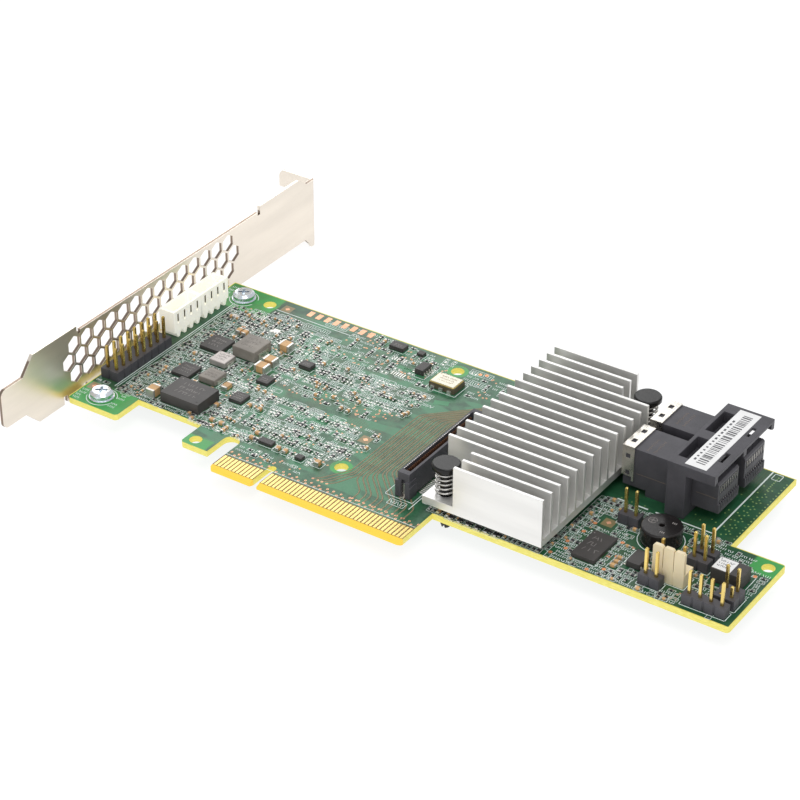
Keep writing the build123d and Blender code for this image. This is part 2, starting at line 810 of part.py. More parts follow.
inductor_places = [
    (board_left + 23.95, body_low + 31.25, 6.6, 6.9, 2.9),
    (board_left + 23.45, body_low + 16.5, 4.8, 4.8, 1.7),
]
plated_place = (board_left + 20.65, body_low + 24.0, 4.6, 4.5, 1.5)


def power_inductors():
    """Grey pressed inductors."""
    return [package(*place) for place in inductor_places]


def plated_inductor():
    """Silver shielded inductor."""
    return package(*plated_place)


def inductor_ends():
    """Tin terminals folded up the sides of the inductors."""
    ends = []
    for x, y, wide, deep, high in inductor_places + [plated_place]:
        for way in (-1, 1):
            near = x + way * wide / 2
            side = sorted((near, near + way * 0.15))
            ends.append(block(side[0], side[1], y - deep * 0.28, y + deep * 0.28, 0, high * 0.6))
    return ends


def capacitor_places():
    """Ceramic capacitors as (x, y, long, wide, high, along X)."""
    left = board_left
    low = body_low
    places = [(left + 30.65, low + 29.7, 3.2, 2.5, 1.8, True)]
    places += [(left + 30.65, low + 26.3, 3.2, 2.5, 1.8, True)]
    places += [(left + 29.65, low + 37.2, 3.2, 2.5, 1.8, True)]
    places += [(left + 15.9, low + 37.0, 2.0, 1.25, 1.2, False)]
    places += [(left + 17.6, low + 37.0, 2.0, 1.25, 1.2, False)]
    places += [(left + 16.0, low + 3.9, 3.2, 2.3, 2.0, False)]
    places += [(left + 28.4, low + 15.6, 3.0, 1.6, 1.0, False)]
    places += [(left + 31.2, low + 8.0, 1.6, 0.9, 0.8, False)]
    places += [(left + 34.2, low + 2.4, 1.6, 0.9, 0.8, True)]
    places += [(left + 36.9, low + 2.4, 1.6, 0.9, 0.8, True)]
    places += [(left + 37.6 + 3.0 * k, low + 12.0, 1.6, 0.8, 0.8, False) for k in range(2)]
    places += [(-11.0, low + 1.6 + 2.2 * k, 1.6, 0.8, 0.8, True) for k in range(2)]
    places += [(-3.4, low + 1.3, 1.6, 0.9, 0.8, False), (-1.4, low + 1.3, 1.6, 0.9, 0.8, False)]
    places += [(7.5, low + 1.4, 1.8, 1.2, 1.1, False)]
    places += [(far_end - 29.4, low + 5.1 + 1.5 * k, 1.6, 0.8, 0.8, True) for k in range(3)]
    places += [(far_end - 8.2 + 2.6 * k, low + 19.6, 1.6, 0.8, 0.8, True) for k in range(2)]
    return places


def capacitor_bodies():
    """Tan ceramic bodies."""
    bodies = []
    for x, y, length, wide, high, along in capacitor_places():
        size = (length * 0.6, wide) if along else (wide, length * 0.6)
        bodies.append(package(x, y, size[0], size[1], high))
    return bodies


def end_caps(places, share):
    """Metal end caps for two-ended chips; each takes its share of the length."""
    caps = []
    for x, y, length, wide, high, along in places:
        for way in (-1, 1):
            shift = way * length * (0.5 - share / 2)
            if along:
                caps.append(package(x + shift, y, length * share, wide, high))
            else:
                caps.append(package(x, y + shift, wide, length * share, high))
    return caps


def resistor_places():
    """Chip resistors as (x, y, long, wide, high, along X)."""
    left = board_left
    low = body_low
    places = [(left + 8.6, low + 6.0 + 4.2 * k, 1.0, 0.5, 0.35, True) for k in range(6)]
    places += [(left + 29.0 + 4.0 * k, low + 40.5, 1.0, 0.5, 0.35, False) for k in range(3)]
    places += [(sink_left + 6.6 + 2.3 * k, low + 0.9, 1.6, 0.8, 0.45, False) for k in range(6)]
    places += [(far_end - 29.5 + 1.6 * k, low + 2.2, 1.0, 0.5, 0.35, False) for k in range(4)]
    return places


def resistor_bodies():
    """Black chip resistors."""
    bodies = []
    for x, y, length, wide, high, along in resistor_places():
        size = (length * 0.6, wide) if along else (wide, length * 0.6)
        bodies.append(package(x, y, size[0], size[1], high))
    return bodies


save(circuit_board(), "circuit_board")
save(edge_contacts(), "edge_contacts")
save(mounting_bracket(), "mounting_bracket")
save(bracket_screws(), "bracket_screws")
save(controller_chip(), "controller_chip")
save(thermal_pad(), "thermal_pad")
save(heat_sink(), "heat_sink")
save(push_pins(), "push_pins")
save(push_pin_springs(), "push_pin_springs")
save(port_housing(), "port_housing")
save(port_towers(), "port_towers")
save(port_contacts(), "port_contacts")
save(port_shields(), "port_shields")
save(port_label(), "port_label")
save(slot_housing(), "slot_housing")
save(slot_locks(), "slot_lock")
save(slot_contacts(), "slot_contacts")
save(io_header_base(), "io_header_base")
save(io_header_posts(), "io_header_posts")
save(far_header_bases(), "far_header_bases")
save(far_header_posts(), "far_header_posts")
save(key_header_housing(), "key_header_housing")
save(key_header_posts(), "key_header_posts")
save(wafer_housings(), "wafer_housings")
save(wafer_pins(), "wafer_pins")
save(buzzer(), "buzzer")
save(power_module(), "power_module")
save(power_chips(), "power_chips")
save(logic_chips(), "logic_chips")
save(memory_chip(), "memory_chip")
save(eight_lead_chips(), "eight_lead_chips")
save(eight_lead_legs(), "eight_lead_legs")
save(clock_module(), "clock_module")
save(clock_label(), "clock_label")
save(oscillator_case(), "oscillator_case")
save(oscillator_lid(), "oscillator_lid")
save(power_inductors(), "power_inductors")
save(plated_inductor(), "plated_inductor")
save(inductor_ends(), "inductor_ends")
save(capacitor_bodies(), "capacitor_bodies")
save(end_caps(capacitor_places(), 0.2), "capacitor_ends")
save(resistor_bodies(), "resistor_bodies")
save(end_caps(resistor_places(), 0.2), "resistor_ends")
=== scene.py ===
import math
import random

import bmesh
import bpy
from mathutils import Matrix, Vector


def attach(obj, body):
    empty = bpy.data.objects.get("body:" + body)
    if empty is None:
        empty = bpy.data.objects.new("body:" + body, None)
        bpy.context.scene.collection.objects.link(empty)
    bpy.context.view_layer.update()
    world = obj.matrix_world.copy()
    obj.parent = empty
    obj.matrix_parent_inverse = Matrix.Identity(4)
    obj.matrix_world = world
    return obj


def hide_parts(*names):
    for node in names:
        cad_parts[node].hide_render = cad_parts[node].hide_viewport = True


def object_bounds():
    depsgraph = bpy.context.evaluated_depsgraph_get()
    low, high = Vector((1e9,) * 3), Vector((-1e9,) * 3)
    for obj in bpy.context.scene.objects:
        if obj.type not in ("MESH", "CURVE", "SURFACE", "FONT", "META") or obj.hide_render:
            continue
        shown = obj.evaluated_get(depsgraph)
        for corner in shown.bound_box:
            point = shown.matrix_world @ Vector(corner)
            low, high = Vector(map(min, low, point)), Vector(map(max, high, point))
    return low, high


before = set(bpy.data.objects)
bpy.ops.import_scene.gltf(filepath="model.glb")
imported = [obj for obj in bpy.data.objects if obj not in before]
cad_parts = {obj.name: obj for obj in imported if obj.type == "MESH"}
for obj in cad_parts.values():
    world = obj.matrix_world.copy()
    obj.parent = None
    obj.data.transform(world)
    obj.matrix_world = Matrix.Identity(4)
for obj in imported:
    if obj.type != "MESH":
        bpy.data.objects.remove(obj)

cad_box = [list(corner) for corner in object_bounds()]


# Circuit board: woven glass and epoxy laminate under a green solder mask, routed to its outline.
# The cut edges, the hole walls and the bevel below the fingers show the pale yellow resin.
MM = 0.001


class Value:
    """One shader socket; arithmetic on it adds Math nodes."""

    def __init__(self, finish, socket):
        self.finish = finish
        self.socket = socket

    def math(self, operation, other):
        return self.finish.node("ShaderNodeMath", {"operation": operation}, {0: self, 1: other})

    def __add__(self, other):
        return self.math("ADD", other)

    def __sub__(self, other):
        return self.math("SUBTRACT", other)

    def __mul__(self, other):
        return self.math("MULTIPLY", other)

    def __gt__(self, other):
        return self.math("GREATER_THAN", other)

    __radd__ = __add__


class Finish:
    """One material: constants on the shader's own sockets, other nodes added by type."""

    def __init__(self, name, constants):
        self.material = bpy.data.materials.new(name)
        self.material.use_nodes = True
        self.nodes = self.material.node_tree.nodes
        self.links = self.material.node_tree.links
        self.shader = self.nodes["Principled BSDF"]
        for key, value in constants.items():
            self.shader.inputs[key].default_value = value

    def node(self, kind, settings, inputs, output=0):
        """Adds a node of that type and returns one of its outputs."""
        made = self.nodes.new(kind)
        for key, value in settings.items():
            setattr(made, key, value)
        for key, value in inputs.items():
            self.join(made.inputs[key], value)
        return Value(self, made.outputs[output])

    def join(self, socket, value):
        """Links a value to a socket, or sets the socket to a constant."""
        if isinstance(value, Value):
            self.links.new(value.socket, socket)
        else:
            socket.default_value = value

    def give(self, key, value):
        """Feeds one socket of the shader."""
        self.join(self.shader.inputs[key], value)

    def place(self, stretch=(1, 1, 1)):
        """Object coordinates in millimetres, stretched."""
        point = self.node("ShaderNodeTexCoord", {}, {}, "Object")
        scale = tuple(share / MM for share in stretch)
        return self.node("ShaderNodeVectorMath", {"operation": "MULTIPLY"}, {0: point, 1: scale})

    def axes(self):
        """The three object coordinates in millimetres."""
        point = self.place()
        return [self.node("ShaderNodeSeparateXYZ", {}, {0: point}, k) for k in range(3)]

    def noise(self, scale, detail=2.0, stretch=(1, 1, 1)):
        inputs = {"Vector": self.place(stretch), "Scale": scale, "Detail": detail}
        return self.node("ShaderNodeTexNoise", {}, inputs)

    def ramp(self, value, low, high, start=0.0, stop=1.0):
        """Start at low and below, stop at high and above, even between."""
        inputs = {"Value": value, "From Min": low, "From Max": high, "To Min": start, "To Max": stop}
        return self.node("ShaderNodeMapRange", {}, inputs)

    def colour(self, factor, first, second):
        """The first colour where the factor is zero, the second where it is one."""
        settings = {"data_type": "RGBA"}
        return self.node("ShaderNodeMix", settings, {0: factor, 6: first, 7: second}, 2)

    def within(self, value, low, high, soft=0.15):
        """One between low and high, with soft edges."""
        return self.ramp(value, low - soft, low + soft) * self.ramp(value, high + soft, high - soft)

    def bump(self, height, depth, strength=1.0):
        """A relief of that depth in millimetres in the surface."""
        inputs = {"Strength": strength, "Distance": depth * MM, "Height": height}
        self.give("Normal", self.node("ShaderNodeBump", {}, inputs))


def rgb(red, green, blue):
    return (red, green, blue, 1.0)


def varied(name, base, rough, metal=0.0, tone=0.12, grain=1.5, depth=0.01, stretch=(1, 1, 1),
           more=None):
    """A finish whose tone and gloss drift over the piece, with a fine grain in its surface."""
    finish = Finish(name, {"Metallic": metal, "Roughness": rough, **(more or {})})
    drift = finish.noise(0.25, 3.0, stretch)
    dark = rgb(*(part * (1 - tone) for part in base))
    light = rgb(*(min(1.0, part * (1 + tone)) for part in base))
    finish.give("Base Color", finish.colour(finish.ramp(drift, 0.3, 0.7), dark, light))
    fine = finish.noise(grain * 4, 4.0, stretch)
    finish.give("Roughness", finish.ramp(fine, 0.3, 0.7, rough * 0.85, min(1.0, rough * 1.18)))
    finish.bump(fine, depth)
    return finish


def baked(source):
    """The evaluated mesh of an object with modifiers; the object itself goes."""
    bpy.context.view_layer.update()
    graph = bpy.context.evaluated_depsgraph_get()
    mesh = bpy.data.meshes.new_from_object(source.evaluated_get(graph))
    bpy.data.objects.remove(source)
    return mesh


def shown(name, mesh, finish, slot, *nodes):
    """A finished piece on the card, which stands for the CAD nodes it names."""
    mesh.materials.clear()
    mesh.materials.append(finish.material)
    piece = bpy.data.objects.new(name, mesh)
    bpy.context.scene.collection.objects.link(piece)
    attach(piece, "root")
    if nodes:
        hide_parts(*nodes)
    return piece


def merged(node):
    """A bmesh of a CAD node with its loose triangles joined into flat faces."""
    work = bmesh.new()
    work.from_mesh(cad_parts[node].data)
    bmesh.ops.remove_doubles(work, verts=work.verts, dist=1e-6)
    flat = math.radians(1.0)
    bmesh.ops.dissolve_limit(work, angle_limit=flat, verts=work.verts, edges=work.edges)
    return work


def crisp(name, work):
    """A mesh from a bmesh, smooth on its rounded edges and flat on its large faces."""
    mesh = bpy.data.meshes.new(name)
    work.to_mesh(mesh)
    work.free()
    mesh.shade_smooth()
    mesh.set_sharp_from_angle(angle=math.radians(50))
    source = bpy.data.objects.new(name, mesh)
    bpy.context.scene.collection.objects.link(source)
    weighted = source.modifiers.new("weighted", "WEIGHTED_NORMAL")
    weighted.keep_sharp = True
    return baked(source)


def eased(node, width, finish, slot, segments=2):
    """A CAD node with every sharp edge rounded by that many millimetres."""
    work = merged(node)
    sharp = [edge for edge in work.edges if edge.calc_face_angle(0.0) > math.radians(35)]
    bmesh.ops.bevel(
        work, geom=sharp, offset=width * MM, segments=segments, profile=0.5,
        affect="EDGES", clamp_overlap=True,
    )
    return shown(node + "_look", crisp(node + "_look", work), finish, slot, node)


def islands(node):
    """The box of every separate solid of a CAD node in mm, as (x0, x1, y0, y1, z0, z1)."""
    work = merged(node)
    waiting = set(work.verts)
    boxes = []
    while waiting:
        front = [waiting.pop()]
        found = []
        while front:
            vert = front.pop()
            found.append(vert.co / MM)
            near = {edge.other_vert(vert) for edge in vert.link_edges} & waiting
            waiting -= near
            front += near
        spans = [(min(co[k] for co in found), max(co[k] for co in found)) for k in range(3)]
        boxes.append([edge for span in spans for edge in span])
    work.free()
    return sorted(boxes)


board_thick = 1.57
board_left = -57.15
sink_shade_span = (22, 60)
bracket_shade_span = (-30, -36)

mask = Finish("solder_mask_print", {"IOR": 1.5, "Specular IOR Level": 0.32, "Coat Roughness": 0.2})
mask_x, mask_y, mask_z = mask.axes()
pour = mask.ramp(mask.noise(0.16, 1.0, (0.45, 1.5, 1)), 0.50, 0.54)
weave = mask.noise(2.2, 3.0)
speck = mask.noise(0.5, 6.0)
dark_green = rgb(0.022, 0.098, 0.048)
light_green = rgb(0.048, 0.180, 0.088)
ground = mask.colour(mask.ramp(speck, 0.35, 0.65), dark_green, light_green)
ground = mask.colour(pour * 0.75, ground, rgb(0.060, 0.255, 0.125))
# Painted shade: the mask is darker towards the heat sink, from x 22 to 60 mm, and towards the bracket,
# from x -30 to -36 mm and beyond.
ground = mask.colour(mask.ramp(mask_x, *sink_shade_span) * 0.8, ground, rgb(0.012, 0.075, 0.030))
ground = mask.colour(mask.ramp(mask_x, *bracket_shade_span) * 0.7, ground, rgb(0.010, 0.055, 0.026))

# The mask is a fresh green where no copper lies under it: in four corners, each as x0, x1, y0 and
# y1, and in a ring round each tool hole, whose middle is given as x and y.
bare_zones = [(-57.2, -41.0, 58.6, 69.5), (-57.2, -42.6, 4.0, 13.2)]
bare_zones += [(104.6, 112.0, 32.6, 39.0), (-24.0, -17.0, 4.0, 8.4)]
hole_places = [(12.4, 16.3), (11.8, 64.75), (-43.3, 64.8), (108.4, 35.8)]
hole_ring = 2.6
bright = 0.0
for x0, x1, y0, y1 in bare_zones:
    bright = bright + mask.within(mask_x, x0, x1, 0.3) * mask.within(mask_y, y0, y1, 0.3)
for x, y in hole_places:
    away_x = mask_x - x
    away_y = mask_y - y
    away = (away_x * away_x + away_y * away_y).math("POWER", 0.5)
    bright = bright + mask.ramp(away, hole_ring + 0.15, hole_ring - 0.15)
ground = mask.colour(bright.math("MINIMUM", 1.0), ground, rgb(0.050, 0.370, 0.080))

# Fine lanes of copper show through the mask, along X in some stretches and along Y in others.
lane_pitch = 0.33
crossing = mask.noise(0.10, 0.0)
run = mask.node("ShaderNodeMix", {}, {0: crossing > 0.5, 2: mask_x, 3: mask_y})
lane = mask.node("ShaderNodeMath", {"operation": "PINGPONG"}, {0: run, 1: lane_pitch})
lane_line = mask.ramp(lane, 0.12, 0.2)
lanes = lane_line * mask.ramp(mask.noise(0.17, 1.0), 0.47, 0.53)
lanes = lanes * mask.ramp(mask_x, 14.0, 12.0) * mask.ramp(mask_y, 5.0, 12.0)
ground = mask.colour(lanes * 0.55, ground, rgb(0.095, 0.120, 0.060))
far_lanes = lane_line * mask.within(mask_x, 68, 98) * mask.ramp(mask.noise(0.2, 1.0), 0.5, 0.56)
ground = mask.colour(far_lanes * 0.5, ground, rgb(0.06, 0.10, 0.035))

# Bare resin shows between the fingers, on the cut edges and on the bevel, where it is more orange.
finger_zone = (-12.3, 39.1)
finger_top = 5.8
between = mask.within(mask_x, *finger_zone, 0.05)
between = between * mask.ramp(mask_y, finger_top + 0.1, finger_top - 0.1)
ground = mask.colour(between, ground, rgb(0.25, 0.135, 0.020))
resin_tone = mask.noise(0.9, 4.0, (1, 1, 6))
resin = mask.colour(mask.ramp(resin_tone, 0.3, 0.7), rgb(0.74, 0.66, 0.13), rgb(0.90, 0.82, 0.24))
bevel = mask.ramp(mask_y, 1.6, 1.2)
resin = mask.colour(bevel, resin, rgb(1.0, 0.66, 0.07))
skin = 0.015
cut = mask.within(mask_z, skin - board_thick, -skin, 0.004)
# Painted highlight: thin bands along the board's top edges take the resin's colour, where the light
# catches the edges.
highlight_rims = [(-60, 98.7, 68.62, 70), (98.1, 98.7, 38.4, 70), (98.1, 112, 38.42, 39)]
highlight_rims += [(110.92, 112, 12, 39), (-60, -56.87, 4, 70), (39.3, 112, 12.5, 13.08)]
bare = 0.0
for x0, x1, y0, y1 in highlight_rims:
    bare = bare + mask.within(mask_x, x0, x1, 0.05) * mask.within(mask_y, y0, y1, 0.05)
cut = (cut + bare).math("MINIMUM", 1.0)
mask.give("Base Color", mask.colour(cut, ground, resin))
mask.give("Roughness", mask.ramp(cut, 0.0, 1.0, 0.36, 0.6))
mask.give("Coat Weight", mask.ramp(cut, 0.0, 1.0, 0.10, 0.0))
# Painted glow: the cut edges, the hole walls, the bevel and the edge bands give off a faint light in the
# resin's colour.
mask.give("Emission Color", mask.colour(cut, rgb(0, 0, 0), resin))
mask.shader.inputs["Emission Strength"].default_value = 0.10
mask.bump(weave + speck * 0.6, 0.02, 0.6)
eased("circuit_board", 0.13, mask, "solder_mask")


# Print on the board: copper tracks under the mask, plated via holes, bare tinned pads and the
# white silk lines round the parts. Etched, plated and screen printed; instanced low shapes.
def new_tree(name, sockets):
    """A node group with its named inputs, and the end of it: solid pieces in the given finish."""
    tree = bpy.data.node_groups.new(name, "GeometryNodeTree")
    for key, kind in sockets.items():
        tree.interface.new_socket(key, in_out="INPUT", socket_type="NodeSocket" + kind)
    tree.interface.new_socket("Geometry", in_out="OUTPUT", socket_type="NodeSocketGeometry")
    entry = tree.nodes.new("NodeGroupInput")
    solid = tree.nodes.new("GeometryNodeRealizeInstances")
    paint = tree.nodes.new("GeometryNodeSetMaterial")
    leave = tree.nodes.new("NodeGroupOutput")
    tree.links.new(solid.outputs[0], paint.inputs["Geometry"])
    tree.links.new(entry.outputs["Finish"], paint.inputs["Material"])
    tree.links.new(paint.outputs[0], leave.inputs[0])
    return tree, entry, solid


def stamp_tree():
    """Copies a piece onto every point, turned and sized by the points' own values."""
    sockets = {"Points": "Geometry", "Piece": "Object", "Finish": "Material"}
    tree, entry, solid = new_tree("stamp", sockets)
    add = tree.nodes.new
    info = add("GeometryNodeObjectInfo")
    info.inputs["As Instance"].default_value = True
    turn = add("GeometryNodeInputNamedAttribute")
    turn.data_type = "FLOAT"
    turn.inputs["Name"].default_value = "turn"
    size = add("GeometryNodeInputNamedAttribute")
    size.data_type = "FLOAT_VECTOR"
    size.inputs["Name"].default_value = "size"
    angle = add("ShaderNodeCombineXYZ")
    euler = add("FunctionNodeEulerToRotation")
    copy = add("GeometryNodeInstanceOnPoints")
    link = tree.links.new
    link(entry.outputs["Piece"], info.inputs["Object"])
    link(turn.outputs["Attribute"], angle.inputs["Z"])
    link(angle.outputs[0], euler.inputs[0])
    link(entry.outputs["Points"], copy.inputs["Points"])
    link(info.outputs["Geometry"], copy.inputs["Instance"])
    link(euler.outputs[0], copy.inputs["Rotation"])
    link(size.outputs["Attribute"], copy.inputs["Scale"])
    link(copy.outputs[0], solid.inputs[0])
    return tree


def set_inputs(modifier, tree, values):
    """Sets a modifier's inputs by the identifiers of the named sockets."""
    for item in tree.interface.items_tree:
        if item.in_out == "INPUT" and item.name in values:
            modifier[item.identifier] = values[item.name]


STAMP = stamp_tree()


def slab():
    """A plain block one unit wide, deep and high, for the thousands of printed strokes."""
    work = bmesh.new()
    bmesh.ops.create_cube(work, size=1.0, matrix=Matrix.Translation((0, 0, 0.5)))
    return work


def tile():
    """A slab with its upper edges eased, for the chip parts."""
    work = slab()
    upper = [edge for edge in work.edges if min(vert.co.z for vert in edge.verts) > 0.9]
    bmesh.ops.bevel(work, geom=upper, offset=0.06, segments=1, affect="EDGES")
    return work


def disc(sides, hole=0.0):
    """A low disc one unit across, or a ring where it has a hole."""
    work = bmesh.new()
    turns = [2 * math.pi * k / sides for k in range(sides)]

    def ring(radius, height):
        return [work.verts.new((radius * math.cos(t), radius * math.sin(t), height)) for t in turns]

    rings = [ring(0.5, 0.0), ring(0.5, 1.0)]
    if hole:
        rings += [ring(0.5 * hole, 1.0), ring(0.5 * hole, 0.0)]
    for low, high in zip(rings, rings[1:] + rings[:1] if hole else rings[1:]):
        for k in range(sides):
            work.faces.new((low[k], low[(k + 1) % sides], high[(k + 1) % sides], high[k]))
    if not hole:
        work.faces.new(rings[0][::-1])
        work.faces.new(rings[1])
    bmesh.ops.recalc_face_normals(work, faces=work.faces)
    return work


def stamps(name, places, shape, finish, slot):
    """Copies of a shape at (x, y, z, turn in degrees, (wide, deep, high)), all lengths in mm."""
    piece_mesh = bpy.data.meshes.new(name + "_piece")
    shape.to_mesh(piece_mesh)
    shape.free()
    piece = bpy.data.objects.new(name + "_piece", piece_mesh)
    mesh = bpy.data.meshes.new(name)
    mesh.from_pydata([(x * MM, y * MM, z * MM) for x, y, z, turn, size in places], [], [])
    turns = mesh.attributes.new("turn", "FLOAT", "POINT")
    turns.data.foreach_set("value", [math.radians(place[3]) for place in places])
    sizes = mesh.attributes.new("size", "FLOAT_VECTOR", "POINT")
    sizes.data.foreach_set("vector", [side * MM for place in places for side in place[4]])
    source = bpy.data.objects.new(name, mesh)
    for item in (piece, source):
        bpy.context.scene.collection.objects.link(item)
    modifier = source.modifiers.new("stamp", "NODES")
    modifier.node_group = STAMP
    set_inputs(modifier, STAMP, {"Piece": piece, "Finish": finish.material})
    result = baked(source)
    bpy.data.objects.remove(piece)
    return shown(name, result, finish, slot)


def ribbon_tree():
    """Sweeps a flat rectangle along every spline, with rounded bends."""
    sockets = {"Path": "Geometry", "Wide": "Float", "High": "Float", "Bend": "Float"}
    tree, entry, solid = new_tree("ribbon", {**sockets, "Finish": "Material"})
    add = tree.nodes.new
    fillet = add("GeometryNodeFilletCurve")
    fillet.mode = "POLY"
    fillet.inputs["Count"].default_value = 5
    section = add("GeometryNodeCurvePrimitiveQuadrilateral")
    sweep = add("GeometryNodeCurveToMesh")
    sweep.inputs["Fill Caps"].default_value = True
    link = tree.links.new
    link(entry.outputs["Path"], fillet.inputs["Curve"])
    link(entry.outputs["Bend"], fillet.inputs["Radius"])
    link(entry.outputs["Wide"], section.inputs["Width"])
    link(entry.outputs["High"], section.inputs["Height"])
    link(fillet.outputs[0], sweep.inputs["Curve"])
    link(section.outputs[0], sweep.inputs["Profile Curve"])
    link(sweep.outputs[0], solid.inputs[0])
    return tree


RIBBON = ribbon_tree()


def ribbons(name, paths, wide, high, base, finish, slot, bend=0.3, closed=False):
    """Flat strips along paths of (x, y) points in mm, lying on the height base."""
    curve = bpy.data.curves.new(name, "CURVE")
    curve.dimensions = "2D"
    for path in paths:
        spline = curve.splines.new("POLY")
        spline.points.add(len(path) - 1)
        for point, (x, y) in zip(spline.points, path):
            point.co = (x * MM, y * MM, 0, 1)
        spline.use_cyclic_u = closed
    source = bpy.data.objects.new(name, curve)
    bpy.context.scene.collection.objects.link(source)
    modifier = source.modifiers.new("ribbon", "NODES")
    modifier.node_group = RIBBON
    sizes = {"Wide": wide * MM, "High": high * MM, "Bend": bend * MM, "Finish": finish.material}
    set_inputs(modifier, RIBBON, sizes)
    mesh = baked(source)
    mesh.transform(Matrix.Translation((0, 0, (base + high / 2) * MM)))
    return shown(name, mesh, finish, slot)


def arc(x, y, radius, start, stop, steps=24):
    """Points on an arc between two angles in degrees."""
    turns = [math.radians(start + (stop - start) * k / steps) for k in range(steps + 1)]
    return [(x + radius * math.cos(t), y + radius * math.sin(t)) for t in turns]


silk_thick = 0.02


def stroke(x0, y0, x1, y1, wide=0.16):
    """One printed stroke between two points."""
    long = math.hypot(x1 - x0, y1 - y0)
    turn = math.degrees(math.atan2(y1 - y0, x1 - x0))
    return ((x0 + x1) / 2, (y0 + y1) / 2, 0.0, turn, (long + wide, wide, silk_thick))


def outline(x0, x1, y0, y1, wide=0.16):
    """Four strokes round a rectangle."""
    corners = [(x0, y0), (x1, y0), (x1, y1), (x0, y1)]
    return [stroke(*a, *b, wide) for a, b in zip(corners, corners[1:] + corners[:1])]


random.seed(9)
silk = varied("silk_print", (0.84, 0.93, 0.90), 0.5, tone=0.08, depth=0.004)
tinned = varied("tinned_pads", (0.62, 0.605, 0.57), 0.36, metal=0.9, tone=0.1, depth=0.012)
copper = varied("bare_copper", (0.92, 0.36, 0.16), 0.42, metal=0.55, tone=0.14, depth=0.006)
salmon = varied("copper_lands", (0.86, 0.46, 0.28), 0.40, metal=0.55, tone=0.16, grain=1, depth=0.01)
under_mask = varied("masked_copper", (0.26, 0.20, 0.085), 0.36, tone=0.1, depth=0.006)
track = varied("masked_track", (0.25, 0.205, 0.11), 0.36, tone=0.08, depth=0.006)

# The wide bundle of tracks runs up beside the slot connector and bends towards it at 45 degrees.
# The first few leave it to the left at the bottom, the others fan out to the right.
track_count = 14
track_left = 15.0
track_step = 0.7
pair_shift = 0.07
bend_y = 44.0
bundle_end = 33.0
parting = 17.3
track_thick = 0.014
track_paths = []
track_ends = []
for k in range(track_count):
    x = track_left + k * track_step + (pair_shift if k % 2 else -pair_shift)
    upper = bend_y + 0.12 * (x - track_left)
    reach = bundle_end - x
    if x < parting:
        foot = x - 5.2 + 0.5 * k
        turn_y = 10.0 + 0.8 * (x - foot)
        path = [(x, turn_y + 2.5), (foot + 1.5, 10.6), (foot, 9.2)]
    else:
        foot = 21.5 + (x - 17.8) * 2.1
        turn_y = 10.4 + 1.15 * (foot - x)
        path = [(x, turn_y), (foot, 10.2 + 0.15 * (foot - x)), (foot, 7.7)]
    track_paths.append([(x + reach, upper + reach), (x, upper)] + path)
    track_ends += [path[-1], (x + reach, upper + reach)]
ribbons("board_tracks", track_paths, 0.36, track_thick, 0.0, track, "solder_mask", bend=3.0)

key_half = 1.5
finger_places = [-key_half - k for k in range(11)] + [key_half + k for k in range(38)]
finger_tracks = []
finger_vias = []
for k, x in enumerate(finger_places):
    top = 6.7 if k % 2 else 7.6
    lean = 0.0 if k % 3 else 0.35
    finger_tracks.append([(x, 5.4), (x, 6.1), (x + lean, top)])
    finger_vias.append((x + lean, top))
ribbons("finger_tracks", finger_tracks, 0.32, track_thick, 0.0, track, "solder_mask", bend=0.1)

# Boxes that the small parts keep clear of: the larger parts, then the tracks, the tool holes and
# the bare spots, as x0, x1, y0, y1 and two heights that aren't used.
blocked = []
for node in ("bracket_screws", "controller_chip", "slot_housing",
             "io_header_base", "wafer_housings", "power_module", "power_chips", "logic_chips",
             "memory_chip", "eight_lead_chips", "clock_module", "oscillator_case", "buzzer",
             "power_inductors", "plated_inductor", "far_header_bases", "key_header_housing",
             "port_housing"):
    blocked += islands(node)
small_parts = islands("capacitor_bodies") + islands("resistor_bodies")
blocked += small_parts
for k in range(9):
    blocked.append([14.0 + 2 * k, 17.0 + 2 * k, 40.0, 47.0 + 2 * k, 0, 1])
blocked += [[14.3, 26.0, 8.0, 47.0, 0, 1], [8.0, 15.0, 7.4, 12.6, 0, 1]]
blocked += [[10.0, 15.0, 13.5, 19.2, 0, 1], [10.0, 14.0, 63.0, 67.0, 0, 1]]
blocked += [[106.2, 110.6, 33.6, 38.0, 0, 1], [-45.5, -41.0, 62.6, 67.2, 0, 1]]
blocked += [[-23.2, -17.0, 4.7, 12.2, 0, 1]]
copper_spots = [(-38.4, 65.5), (10.5, 28.5), (72.4, 31.2), (-54.9, 11.7)]
spot_room = 1.5
for x, y in copper_spots:
    blocked.append([x - spot_room, x + spot_room, y - spot_room, y + spot_room, 0, 1])


def clear(x, y, wide, deep):
    """True where a small part would touch none of the larger ones."""
    for x0, x1, y0, y1, z0, z1 in blocked:
        if x0 - wide < x < x1 + wide and y0 - deep < y < y1 + deep:
            return False
    return True


# Boxes printed round the larger parts, with a dot at one corner, and the long lines.
silk_lines = []
silk_gaps = {
    "power_module": 0.45, "power_chips": 0.5, "logic_chips": 0.4, "memory_chip": 0.5,
    "eight_lead_chips": 1.1, "power_inductors": 0.4, "plated_inductor": 0.4,
}
corner_dot = (0.4, 0.4, silk_thick)
for node, gap in silk_gaps.items():
    for x0, x1, y0, y1, z0, z1 in islands(node):
        silk_lines += outline(x0 - gap, x1 + gap, y0 - gap, y1 + gap)
        silk_lines.append((x0 - gap - 0.5, y1 + gap, 0, 0, corner_dot))
for x0, x1, y0, y1, z0, z1 in small_parts:
    silk_lines += outline(x0 - 0.75, x1 + 0.75, y0 - 0.6, y1 + 0.6, 0.14)
silk_lines += outline(26.1, 33.3, 13.4, 45.7)
silk_lines += outline(93.6, 95.6, 65.9, 68.2, 0.18)
silk_lines += [stroke(92.8, 40.3, 92.8, 68.4, 0.35), stroke(84.0, 40.3, 92.8, 40.3, 0.35)]
